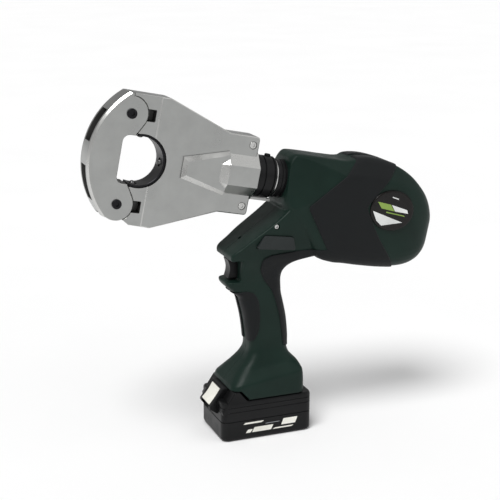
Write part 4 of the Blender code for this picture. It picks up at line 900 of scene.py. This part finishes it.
def make_head_frame():
    head = chamfered_plate("head_frame_body", frame_outline(), HALF_HEAD, HEAD_CHAMFER, TOOL)
    join(head, *boss_and_hub())
    for sign in (1, -1):
        join(head, tongue(sign))
    for sign in (1, -1):
        cut(head, face_step(sign))
    cut(head, *frame_bores())
    for sign in (1, -1):
        cut(head, indenter_bore("indenter_bore", (0, 0, sign), INDENTER_REST + INDENTER_LENGTH + 0.0035))
        cut(head, *(pocket(sign, side) for side in (-1, 1)))
        cut(head, *lug_screw_seats(sign))
    cut(head, latch_notch())
    bevel(head, EDGE, 2)
    fit_out(head, "cast_aluminium", "head", "head_frame")
    # Painted highlight on the slanting faces, painted shade in the pockets.
    paint_highlight_and_shade(head, in_pocket)


def make_liner():
    """The dark ring that lines the frame's side of the opening."""
    centre = (CRIMP_CENTRE, 0)
    end = 2 * math.pi - LINER_GAP
    outline = arc(centre, CRIMP_RADIUS + LINER_WALL, LINER_GAP, end, 72)
    outline += arc(centre, CRIMP_RADIUS, end, LINER_GAP, 72)
    liner = chamfered_plate("crimp_liner_ring", tool_outline(outline), LINER_HALF_WIDTH, SMALL_CHAMFER, TOOL)
    for direction in ((0, 0, 1), (0, 0, -1), (1, 0, 0)):
        cut(liner, indenter_bore("liner_bore", direction, 0.04))
    fit_out(liner, "dark_steel", "head", "crimp_liner")


def make_indenter(name, direction, rest, length, body, node):
    """A punch with a tapered, round-nosed tip that points at the middle of the opening."""
    start = Vector((-CRIMP_CENTRE, 0, 0)) + rest * Vector(direction)
    tip = PUNCH_TIP_RADIUS
    nose = [(tip * (1 - math.cos(a)) * 0.5, tip * math.sin(a)) for a in (0.15, 0.5, 0.9, 1.3, math.pi / 2)]
    shank = (
        (PUNCH_TAPER, INDENTER_RADIUS),
        (length - SMALL_CHAMFER, INDENTER_RADIUS),
        (length, INDENTER_RADIUS - SMALL_CHAMFER),
    )
    punch = lathe(name, (*nose, *shank), start, direction, TOOL, 48)
    fit_out(punch, "bright_steel", body, node)
    punch.data.materials[0] = PUNCH_STEEL.material


def make_indenters():
    """The four punches round the opening. The rear one rides on the ram."""
    size = (INDENTER_REST, INDENTER_LENGTH)
    for name, up in (("upper", 1), ("lower", -1)):
        make_indenter(f"{name}_punch_pin", (0, 0, up), *size, f"{name}_punch", f"{name}_indenter")
    rear_length = CRIMP_CENTRE - INDENTER_REST - REAR_INDENTER_SEAT
    make_indenter("rear_punch_pin", (1, 0, 0), INDENTER_REST, rear_length, "ram", "rear_indenter")
    front = (FRONT_INDENTER_REST, FRONT_INDENTER_LENGTH)
    make_indenter("front_punch_pin", (-1, 0, 0), *front, "front_punch", "front_indenter")


def yoke_outline():
    """The flip-open front: its opening, a lug round each pin, and the round rim."""
    opening = arc((CRIMP_FLAT - CRIMP_CORNER, CRIMP_RADIUS - CRIMP_CORNER), CRIMP_CORNER, 0, math.pi / 2, 10)
    inner = opening + [on_lug_tangent(LUG_RADIUS, CRIMP_RADIUS)]
    upper_lug = arc(UPPER_PIN, LUG_RADIUS, LUG_TANGENT, math.pi / 2, 30) + [(PIN[0] + 0.0008, HALF_HEIGHT)]
    lower_lug = arc(UPPER_PIN, LUG_RADIUS, LUG_TANGENT, math.radians(60), 36)
    rim = (RIM_CENTRE, 0)
    upper_rim = arc(rim, RIM_RADIUS, math.asin(HALF_HEIGHT / RIM_RADIUS), 0, 44)
    lower_rim = arc(rim, RIM_RADIUS, math.asin(LOWER_RIM_HEIGHT / RIM_RADIUS), 0, 40)
    return tool_outline(inner + upper_lug + upper_rim + mirrored(inner + lower_lug + lower_rim)[1:])


def rim_disc():
    """A disc that keeps the rim round, with a chamfer on both sides."""
    width = 2 * HALF_HEAD
    outer = RIM_RADIUS + 0.0002
    inner = RIM_RADIUS - RIM_CHAMFER
    profile = ((0, inner), (RIM_CHAMFER, outer), (width - RIM_CHAMFER, outer), (width, inner))
    return lathe("rim_chamfer", profile, (-RIM_CENTRE, -HALF_HEAD, 0), (0, 1, 0), TOOL, 256)


def tongue_slots():
    """The slots for the frame's tongues. The lower one has room for the yoke to swing open."""
    half = TONGUE_HALF_WIDTH + 0.0005
    room = TONGUE_RADIUS + 0.002
    rear = CRIMP_CENTRE - 0.02
    below = -PIN[1] - 0.03
    upper = arc(UPPER_PIN, room, math.pi / 2, -math.pi / 2, 30)
    upper += [(rear, PIN[1] - room), (rear, PIN[1] + room)]
    lower = arc(LOWER_PIN, room, math.pi / 2, 0, 15)
    lower += [(PIN[0] + room + 0.003, below), (rear, below), (rear, room - PIN[1])]
    return [plate("tongue_slot", tool_outline(outline), -half, half, TOOL) for outline in (upper, lower)]


def rim_window(sign):
    rim = (RIM_CENTRE, 0)
    start, end = (sign * math.asin(up / RIM_RADIUS) for up in RIM_WINDOW_UP)
    outline = arc(rim, RIM_RADIUS + 0.01, start, end, 20)
    outline += arc(rim, RIM_RADIUS - RIM_WINDOW_DEPTH, end, start, 20)
    return plate("rim_window", tool_outline(outline), -RIM_WINDOW_HALF_WIDTH, RIM_WINDOW_HALF_WIDTH, TOOL)


def in_rim_window(x, y, z):
    """Whether a point in the tool frame lies within a window, or anywhere deep in the yoke."""
    return abs(y) < RIM_WINDOW_HALF_WIDTH + 0.0003 and math.hypot(x + RIM_CENTRE, z) < RIM_RADIUS - 0.0015


def make_yoke():
    yoke = chamfered_plate("yoke_body", yoke_outline(), HALF_HEAD, SMALL_CHAMFER, TOOL)
    keep(yoke, rim_disc())
    cut(yoke, *tongue_slots())
    for sign in (1, -1):
        cut(yoke, cross_bar("pin_bore", (PIN[0], sign * PIN[1]), PIN_RADIUS + FIT))
        cut(yoke, rim_window(sign))
    cut(yoke, indenter_bore("front_bore", (-1, 0, 0), FRONT_INDENTER_REST + FRONT_INDENTER_LENGTH + 0.001))
    bevel(yoke, EDGE, 2)
    fit_out(yoke, "cast_aluminium", "yoke", "head_yoke")
    # Painted highlight on the slanting faces, painted shade in the rim windows and deep in the yoke.
    paint_highlight_and_shade(yoke, in_rim_window)


def make_pin(name, place, head_radius, body, node):
    """A pin across the head: a domed, grooved head on the left with a hexagon socket."""
    face = HALF_HEAD + FIT
    head = PIN_HEAD_HEIGHT
    tail = head + 2 * HALF_HEAD
    profile = (
        (0, head_radius - 0.0006),
        (0.0004, head_radius),
        (head, head_radius),
        (head + 0.0001, PIN_RADIUS),
        (tail - 0.001, PIN_RADIUS),
        (tail - 0.0004, PIN_RADIUS - 0.0006),
    )
    pin = lathe(name, profile, (-place[0], -face - head, place[1]), (0, 1, 0), TOOL)
    above = -face - head - 0.002
    cut(pin, cross_bar("socket", place, head_radius * 0.5, above, -face - 0.0002, 6))
    groove_radius = head_radius * 0.78
    sides = ((0, groove_radius), (0.0022, groove_radius))
    groove = lathe("groove", sides, (-place[0], above, place[1]), (0, 1, 0), TOOL)
    cut(groove, cross_bar("groove_core", place, head_radius * 0.70, -0.03, 0.03))
    cut(pin, groove)
    bevel(pin, 0.00015, 2)
    fit_out(pin, "dark_steel", body, node)


def make_lug_screws():
    """A screw through each lug behind the plate, with a hexagon socket at both ends."""
    half = HALF_HEAD - 0.0002
    head = BOLT_HEAD_RADIUS
    ends = ((0, head - 0.0005), (0.0004, head), (0.0011, head), (0.0012, BOLT_RADIUS))
    profile = (*ends, *((2 * half - distance, radius) for distance, radius in reversed(ends)))
    for side, sign in (("upper", 1), ("lower", -1)):
        place = (LUG_SCREW[0], sign * LUG_SCREW[1])
        screw = lathe(f"{side}_lug_bolt", profile, (-place[0], -half, place[1]), (0, 1, 0), TOOL, 48)
        for y in (-half, half):
            cut(screw, cross_bar("socket", place, 0.0022, y - 0.0009, y + 0.0009, 6))
        fit_out(screw, "bright_steel", "head", f"{side}_lug_screw")


# Rotating neck


def ring(name, profile, bore, look, body, node, extra=()):
    """A ring on the ram axis: (rearward, radius) points front to rear, with a bore."""
    piece = lathe(name, profile, (0, 0, 0), (1, 0, 0), TOOL, 96)
    join(piece, *extra)
    front = profile[0][0] - 0.01
    rear = profile[-1][0] + 0.01
    cut(piece, bar("bore", (front, 0, 0), (rear, 0, 0), bore, TOOL, 96))
    fit_out(piece, look, body, node)


def grooved(start, radius, depth, slope, width):
    """Four profile points of a groove that is cut round a ring."""
    floor = radius - depth
    return [(start, radius), (start + slope, floor), (start + width - slope, floor), (start + width, radius)]


def make_collar():
    """The black ring that turns with the head, with a position mark on top."""
    edge = COLLAR_RADIUS - 0.0012
    profile = [(-0.0075, edge), (-0.0063, COLLAR_RADIUS)]
    for start in (0.0005, 0.0115):
        profile += grooved(start, COLLAR_RADIUS, COLLAR_GROOVE, 0.0004, 0.0020)
    profile += [(0.0150, COLLAR_RADIUS), (0.0162, edge)]
    mark_profile = ((0, 0.0036), (0.0035, 0.0036), (0.0045, 0.0026))
    mark = lathe("mark", mark_profile, (0.0085, 0, 0.022), (0, 0, 1), TOOL, 32)
    ring("collar_ring", profile, COLLAR_BORE, "black_plastic", "head", "neck_collar", [mark])


def make_sleeve():
    """The bright race behind the collar, and the black sleeve that runs into the housing."""
    race = [(0.0165, 0.0206), (0.0168, 0.0214), (0.0180, 0.0214), (0.0183, 0.0206)]
    ring("race_ring", race, SPIGOT_BORE, "bright_steel", "housing", "swivel_race")
    profile = [(0.0186, SLEEVE_RADIUS - 0.0008), (0.0194, SLEEVE_RADIUS)]
    for start in (0.0225, 0.0265):
        profile += grooved(start, SLEEVE_RADIUS, SLEEVE_GROOVE, 0.0003, 0.0013)
    profile += [(0.049, SLEEVE_RADIUS)]
    ring("sleeve_ring", profile, SPIGOT_BORE, "black_plastic", "housing", "neck_sleeve")


# Housing


def barrel_ring(forward, top, bottom, half_width, drop, inset_top, crease, round_bottom):
    top_corner = max(0.006, crease)
    corners = (
        (half_width, top - drop, crease),
        (half_width - inset_top, top, top_corner),
        (inset_top - half_width, top, top_corner),
        (-half_width, top - drop, crease),
        (-half_width, bottom, round_bottom),
        (half_width, bottom, round_bottom),
    )
    return [(-forward, y, z) for y, z in soft_outline(corners)]


def make_barrel():
    """The barrel, with its front flanks planed down from the crease to the nose."""
    barrel = skin("barrel", [barrel_ring(*row) for row in smooth_rows(BARREL)], TOOL)
    for side in (-1, 1):
        points = [TOOL @ Vector((-a, side * y, b)) for a, y, b in (CREASE_TOP, CREASE_LOW, CREASE_NOSE)]
        normal = (points[1] - points[0]).cross(points[2] - points[0]).normalized()
        if normal.y * side < 0:
            normal.negate()
        shape = bmesh.new()
        shape.from_mesh(barrel.data)
        cells = shape.verts[:] + shape.edges[:] + shape.faces[:]
        bmesh.ops.bisect_plane(shape, geom=cells, plane_co=points[0], plane_no=normal, clear_outer=True)
        bmesh.ops.holes_fill(shape, edges=shape.edges)
        bmesh.ops.recalc_face_normals(shape, faces=shape.faces)
        shape.to_mesh(barrel.data)
        shape.free()
    return barrel


def make_handle():
    rings = []
    for run in (FOOT_AND_GRIP, TRIGGER_ZONE, SHOULDER_RUN):
        for height, front, rear, half_width, front_cut, rear_cut in smooth_rows(run):
            corners = (
                (front, -half_width, front_cut),
                (rear, -half_width, rear_cut),
                (rear, half_width, rear_cut),
                (front, half_width, front_cut),
            )
            slope = foot_slope(height)
            rings.append([(x, y, height + slope * x) for x, y in soft_outline(corners)])
    return skin("handle", rings)


def foot_slope(height):
    """The foot's shoulder falls towards the front, so its sections tilt most at the shoulder's height."""
    distance = abs(height - FOOT_SHOULDER) / FOOT_SHOULDER_REACH
    return FOOT_SHOULDER_SLOPE * max(0.0, 1 - distance**2)


def retract_plate(name, grow, inner, outer, cut_corner=0.003):
    outline = inset(RETRACT_OUTLINE, -grow) if grow else RETRACT_OUTLINE
    return plate(name, rounded(tool_outline(outline), cut_corner), -outer, -inner, TOOL)


def screw_places():
    """Each housing screw: its CAD node, its middle, and the side and depth of its head."""
    places = []
    for number in range(1, SCREW_COUNT + 1):
        node = f"housing_screw_{number}"
        low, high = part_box(node)
        side = -1 if abs(low.y) > abs(high.y) else 1
        face = low.y if side < 0 else high.y
        places.append((node, (low.x + high.x) / 2, (low.z + high.z) / 2, side, face))
    return places


def foot_notch():
    """The notch in the foot's front that the battery's sloping nose fills."""
    outline = ((-0.09, 0.03), (-0.0230, 0.03), (-0.0230, 0.0505), (-0.0330, 0.0614), (-0.09, 0.0614))
    return plate("foot_notch", outline, -FAR, FAR)


def housing_cuts(side):
    """What is cut from one half: the nose's bore, the battery bay, and holes for keys and screws."""
    yield bar("nose_bore", (0, 0, 0), (0.055, 0, 0), SLEEVE_RADIUS + FIT, TOOL, 96)
    yield box("bay", (-0.09, -BAY_HALF_WIDTH, 0.03), (BAY_REAR, BAY_HALF_WIDTH, BAY_TOP))
    yield foot_notch()
    yield box("trigger_slot", (-0.035, -0.009, TRIGGER_LOW - 0.0005), (-0.018, 0.009, TRIGGER_HIGH + 0.0005))
    if side < 0:
        yield retract_plate("retract_hole", 0.0006, 0.02, 0.06)
    yield bar("wedge_hole", WEDGE_HOLE, WEDGE_HOLE_END, WEDGE_HOLE_RADIUS)
    for _, x, z, head_side, face in screw_places():
        if head_side == side:
            yield bar("screw_hole", (x, 0.4 * face, z), (x, side * 0.06, z), SCREW_HOLE_RADIUS, WORLD, 32)


def make_housing(form):
    """The two moulded halves, hollow, with their seam on the middle plane."""
    inside = grown(form, -WALL)
    for name, side in (("left", -1), ("right", 1)):
        half = linked_copy(form, f"{name}_shell")
        low, high = sorted((side * SEAM, side * FAR))
        keep(half, box("side", (-0.3, low, -0.1), (0.4, high, 0.5)))
        cut(half, linked_copy(inside, "hollow"))
        cut(half, *housing_cuts(side))
        fit_out(half, "green_plastic", "housing", f"{name}_housing", angle=math.radians(40), flat=False)
    bpy.data.objects.remove(inside)


def make_rubber(name, form, side, outline, matrix, node):
    """A rubber skin that stands proud of the housing over an outline seen from the side."""
    piece = grown(form, SKIN)
    piece.name = name
    low, high = sorted((side * 0.004, side * 0.08))
    keep(piece, plate("area", rounded(outline, 0.004), low, high, matrix))
    cut(piece, grown(form, -0.0008))
    remesh(piece, RUBBER_VOXEL, 3)
    fit_out(piece, "black_rubber", "housing", node, angle=math.radians(60), flat=False)


def make_label(name, side, node):
    """A domed oval badge on the barrel's flank, with plain marks on it."""
    profile = ((0.0, 1.0), (0.0016, 1.0), (0.0022, 0.985), (0.0025, 0.955), (LABEL_THICKNESS, 0.90))
    along, up = LABEL_CENTRE
    steps = 96
    rings = []
    for depth, share in profile:
        y = side * (LABEL_FACE - LABEL_THICKNESS + depth)
        circle = arc((0, 0), share, 0, 2 * math.pi * (steps - 1) / steps, steps - 1)
        rings.append([(-along - LABEL_HALF_LENGTH * a, y, up + LABEL_HALF_HEIGHT * b) for a, b in circle])
    fit_out(skin(name, rings, TOOL), "label_film", "housing", node)
    low, high = sorted((side * (LABEL_FACE - 0.0006), side * (LABEL_FACE + 0.00008)))
    for mark, look, corners in LABEL_MARKS:
        outline = [(along + a, up + b) for a, b in corners]
        piece = plate(f"{name}_{mark}", tool_outline(outline), low, high, TOOL)
        fit_out(piece, "label_film", "housing")
        piece.data.materials[0] = {"white": WHITE_PRINT, "lime": STREAK}[look].material


def make_retract_button():
    button = retract_plate("retract_key", 0, RETRACT_FACE - RETRACT_DEPTH, RETRACT_FACE)
    bevel(button, 0.0008)
    fit_out(button, "grey_plastic", "retract", "retract_button")


def make_screws():
    """The housing's screws: a domed head with a hexagon socket, and a pointed tail."""
    for node, x, z, side, face in screw_places():
        low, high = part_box(node)
        length = abs((high.y if side < 0 else low.y) - face)
        profile = (
            (0, SCREW_HEAD_RADIUS - 0.0005),
            (0.0005, SCREW_HEAD_RADIUS),
            (0.0020, SCREW_HEAD_RADIUS),
            (0.0021, SCREW_RADIUS),
            (length - 0.001, SCREW_RADIUS),
            (length, SCREW_RADIUS / 2),
        )
        screw = lathe(f"{node}_body", profile, (x, face, z), (0, -side, 0), WORLD, 32)
        cut(screw, bar("socket", (x, face + side * 0.001, z), (x, face - side * 0.0013, z), 0.0017, WORLD, 6))
        fit_out(screw, "bright_steel", "housing", node)


def make_trigger():
    """The trigger: a finger scoop in front, and a flange behind the slot."""
    front = []
    for i in range(TRIGGER_STEPS + 1):
        t = i / TRIGGER_STEPS
        x = TRIGGER_FRONT + TRIGGER_SCOOP * math.sin(math.pi * t) * 0.8
        front.append((x, TRIGGER_LOW + t * (TRIGGER_HIGH - TRIGGER_LOW)))
    outline = [*front, (TRIGGER_REAR, TRIGGER_HIGH), (TRIGGER_REAR, TRIGGER_LOW)]
    trigger = plate("trigger_blade", outline, -TRIGGER_HALF_WIDTH, TRIGGER_HALF_WIDTH)
    bevel(trigger, 0.0018, 4)
    low = (TRIGGER_REAR - 0.0045, -FLANGE_HALF_WIDTH, TRIGGER_LOW + 0.003)
    high = (TRIGGER_REAR - 0.0005, FLANGE_HALF_WIDTH, TRIGGER_HIGH - 0.003)
    join(trigger, box("flange", low, high))
    fit_out(trigger, "black_plastic", "trigger", "trigger")


# Battery


def battery_ring(z, back, radius=0.009):
    x = BATTERY_HALF_LENGTH - back
    y = BATTERY_HALF_WIDTH - back
    corners = ((x, y, radius), (-x, y, radius), (-x, -y, radius), (x, -y, radius))
    return [(a, b, z) for a, b in soft_outline(corners, 8)]


def make_battery_tray():
    """The battery's lower shell, with a rounded bottom edge."""
    edge = 0.0040
    rings = [battery_ring(0, edge)]
    for a in (0.4, 0.8, 1.2, math.pi / 2):
        rings.append(battery_ring(0.0045 * (1 - math.cos(a)), edge * (1 - math.sin(a))))
    rings += [battery_ring(BATTERY_SPLIT - 0.0006, 0), battery_ring(BATTERY_SPLIT, 0.0006)]
    tray = skin("battery_lower_shell", rings)
    floor = battery_ring(BATTERY_WALL, BATTERY_WALL + 0.002)
    cut(tray, skin("hollow", [floor, battery_ring(0.006, BATTERY_WALL), battery_ring(0.03, BATTERY_WALL)]))
    fit_out(tray, "black_plastic", "battery", "battery_tray")


def lid_skin():
    """The battery's upper shell, with two grooves round it."""
    top = BATTERY_TOP
    rings = [battery_ring(BATTERY_SPLIT + FIT, 0.0006), battery_ring(BATTERY_SPLIT + 0.0009, 0)]
    for z in (0.0355, 0.0415):
        for rise, back in ((0, 0), (0.0003, 0.0005), (0.0009, 0.0005), (0.0012, 0)):
            rings.append(battery_ring(z + rise, back))
    rings += [battery_ring(top - 0.0025, 0), battery_ring(top - 0.0008, 0.0007), battery_ring(top, 0.0025)]
    return skin("battery_upper_shell", rings)


def front_block():
    """The full-width block at the battery's front, and the narrower nose that holds the button."""
    shoulder_foot = SHOULDER_LOW[1] - 0.004
    tooth = (
        (SHOULDER_LOW[0] + 0.0008, shoulder_foot),
        SHOULDER_LOW,
        SHOULDER_HIGH,
        (SHOULDER_HIGH[0] + 0.0010, BLOCK_TOP),
        (-0.0350, BLOCK_TOP),
        (-0.0245, BATTERY_TOP - 0.001),
        (-0.0245, shoulder_foot),
    )
    block = plate("tooth", tooth, 0.0004 - BATTERY_HALF_WIDTH, BATTERY_HALF_WIDTH - 0.0004)
    bevel(block, 0.0022)
    outline = (
        (SLOPE_LOW[0], SLOPE_LOW[1] - 0.0025),
        (-0.0555, 0.0290),
        (SHOULDER_HIGH[0], 0.0290),
        (SHOULDER_HIGH[0], BLOCK_TOP),
        (SLOPE_HIGH[0] + 0.001, BLOCK_TOP),
        SLOPE_HIGH,
        SLOPE_LOW,
    )
    nose = plate("nose", outline, -NOSE_HALF_WIDTH, NOSE_HALF_WIDTH)
    bevel(nose, 0.0016)
    return block, nose


def make_battery_lid():
    lid = lid_skin()
    block, nose = front_block()
    rail = box("rail", (-0.022, -0.020, BATTERY_TOP - 0.002), (0.034, 0.020, 0.057))
    bevel(rail, 0.0008)
    join(lid, block, nose, rail)
    levels = (BATTERY_SPLIT - 0.01, BATTERY_TOP - BATTERY_WALL)
    cut(lid, skin("hollow", [battery_ring(z, BATTERY_WALL) for z in levels]))
    cut(lid, slope_block("pocket", 0.02, 0.0035, 0.0005, 0.0008))
    for y in (-0.010, 0.0, 0.010):
        cut(lid, box("blade_slot", (0.020, y - 0.001, 0.0515), (0.044, y + 0.001, 0.062)))
    for side in (-1, 1):
        low, high = sorted((side * 0.0172, side * 0.025))
        cut(lid, box("rail_groove", (-0.020, low, 0.0500), (0.040, high, 0.0528)))
    fit_out(lid, "black_plastic", "battery", "battery_lid")


def slope_block(name, proud, extra_travel, grow, deeper, bend=0.0):
    """A block set into the battery's sloping nose: the release button, or its pocket."""
    low = Vector((SLOPE_LOW[0], 0, SLOPE_LOW[1]))
    high = Vector((SLOPE_HIGH[0], 0, SLOPE_HIGH[1]))
    along = (high - low).normalized()
    out = Vector((-along.z, 0, along.x))
    middle = (low + high) / 2
    inner = BUTTON_DEPTH + deeper
    start = -(BUTTON_LENGTH / 2 + extra_travel + grow)
    end = BUTTON_LENGTH / 2 + grow
    steps = 12
    outline = []
    for i in range(steps + 1):
        t = i / steps
        lift = proud - bend * math.sin(math.pi * t)
        outline.append(middle + along * (start + t * (end - start)) + out * lift)
    outline += [middle + along * end - out * inner, middle + along * start - out * inner]
    wide = BUTTON_HALF_WIDTH + grow
    return plate(name, [(p.x, p.z) for p in outline], -wide, wide)


def make_release_button():
    button = slope_block("release_key", BUTTON_PROUD, 0, 0, 0, BUTTON_BEND)
    bevel(button, 0.0006)
    fit_out(button, "pale_plastic", "battery_release", "battery_release_button")


def make_battery_marks():
    """Plain bars on both flanks, where a maker would print. The last one is grey."""
    for side, name in ((-1, "left"), (1, "right")):
        inner, outer = sorted((side * (BATTERY_HALF_WIDTH - 0.0005), side * (BATTERY_HALF_WIDTH + 0.00015)))
        for mark, front, rear, low, high in BATTERY_BARS:
            outline = ((front, low), (rear, low), (rear + BAR_SLANT, high), (front + BAR_SLANT, high))
            flat = plate(f"battery_{name}_{mark}_mark", rounded(outline, 0.0008, 4), inner, outer)
            fit_out(flat, "pale_plastic", "battery")
        flat.data.materials[0] = PRINT.material


# Assembly

make_head_frame()
make_liner()
make_indenters()
make_yoke()
make_pin("hinge_pin_bolt", LOWER_PIN, HINGE_HEAD_RADIUS, "head", "hinge_pin")
make_pin("latch_pin_bolt", UPPER_PIN, LATCH_HEAD_RADIUS, "latch", "latch_pin")
make_lug_screws()
make_collar()
make_sleeve()
housing_form = remesh(merged("housing_form", make_barrel(), make_handle()), VOXEL, 5)
make_housing(housing_form)
rubber_areas = (
    ("flank", "side", tool_outline(SIDE_RUBBER), TOOL),
    ("grip", "grip", GRIP_RUBBER, WORLD),
    ("back", "back", BACK_RUBBER, WORLD),
)
for hand, hand_sign in (("left", -1), ("right", 1)):
    for pad, area, area_outline, area_matrix in rubber_areas:
        names = (f"{hand}_{pad}_pad", f"{hand}_{area}_rubber")
        make_rubber(names[0], housing_form, hand_sign, area_outline, area_matrix, names[1])
    make_label(f"{hand}_badge", hand_sign, f"{hand}_label")
bpy.data.objects.remove(housing_form)
make_screws()
make_retract_button()
make_trigger()
make_battery_tray()
make_battery_lid()
make_release_button()
make_battery_marks()


# Floor, light and camera


def make_floor():
    """A pale paper floor that reaches past the frame's edges."""
    shape = bmesh.new()
    bmesh.ops.create_grid(shape, x_segments=FLOOR_STEPS, y_segments=FLOOR_STEPS, size=FLOOR_HALF_WIDTH)
    floor = object_of("floor", shape)
    look = Surface("floor_paper", (0.93, 0.93, 0.93), 0.9)
    look.mottle(look.range(look.noise(3), 0, 1), 0.01)
    floor.data.materials.append(look.material)


def make_sun(name, place, spread, power):
    light = bpy.data.lights.new(name, "SUN")
    light.angle = math.radians(spread)
    light.energy = power
    holder = bpy.data.objects.new(name, light)
    holder.rotation_euler = Vector(place).to_track_quat("Z", "Y").to_euler()
    bpy.context.scene.collection.objects.link(holder)


def make_lights():
    """Wide, even light, as in a light tent, a little stronger from the upper left."""
    for sun in SUNS:
        make_sun(*sun)
    world = bpy.data.worlds.new("studio")
    world.use_nodes = True
    world.node_tree.nodes["Background"].inputs["Color"].default_value = (1, 1, 1, 1)
    world.node_tree.nodes["Background"].inputs["Strength"].default_value = SKY_STRENGTH
    bpy.context.scene.world = world
    bpy.context.scene.view_settings.view_transform = "Standard"


def make_camera():
    data = bpy.data.cameras.new("photo_camera")
    data.sensor_width = CAMERA_SENSOR
    data.lens = CAMERA_LENS
    camera = bpy.data.objects.new("photo_camera", data)
    camera.location = CAMERA_PLACE
    camera.rotation_euler = (math.radians(90 - CAMERA_DOWN), 0, math.radians(-CAMERA_TURN))
    bpy.context.scene.collection.objects.link(camera)
    bpy.context.scene.camera = camera


make_floor()
make_lights()
make_camera()
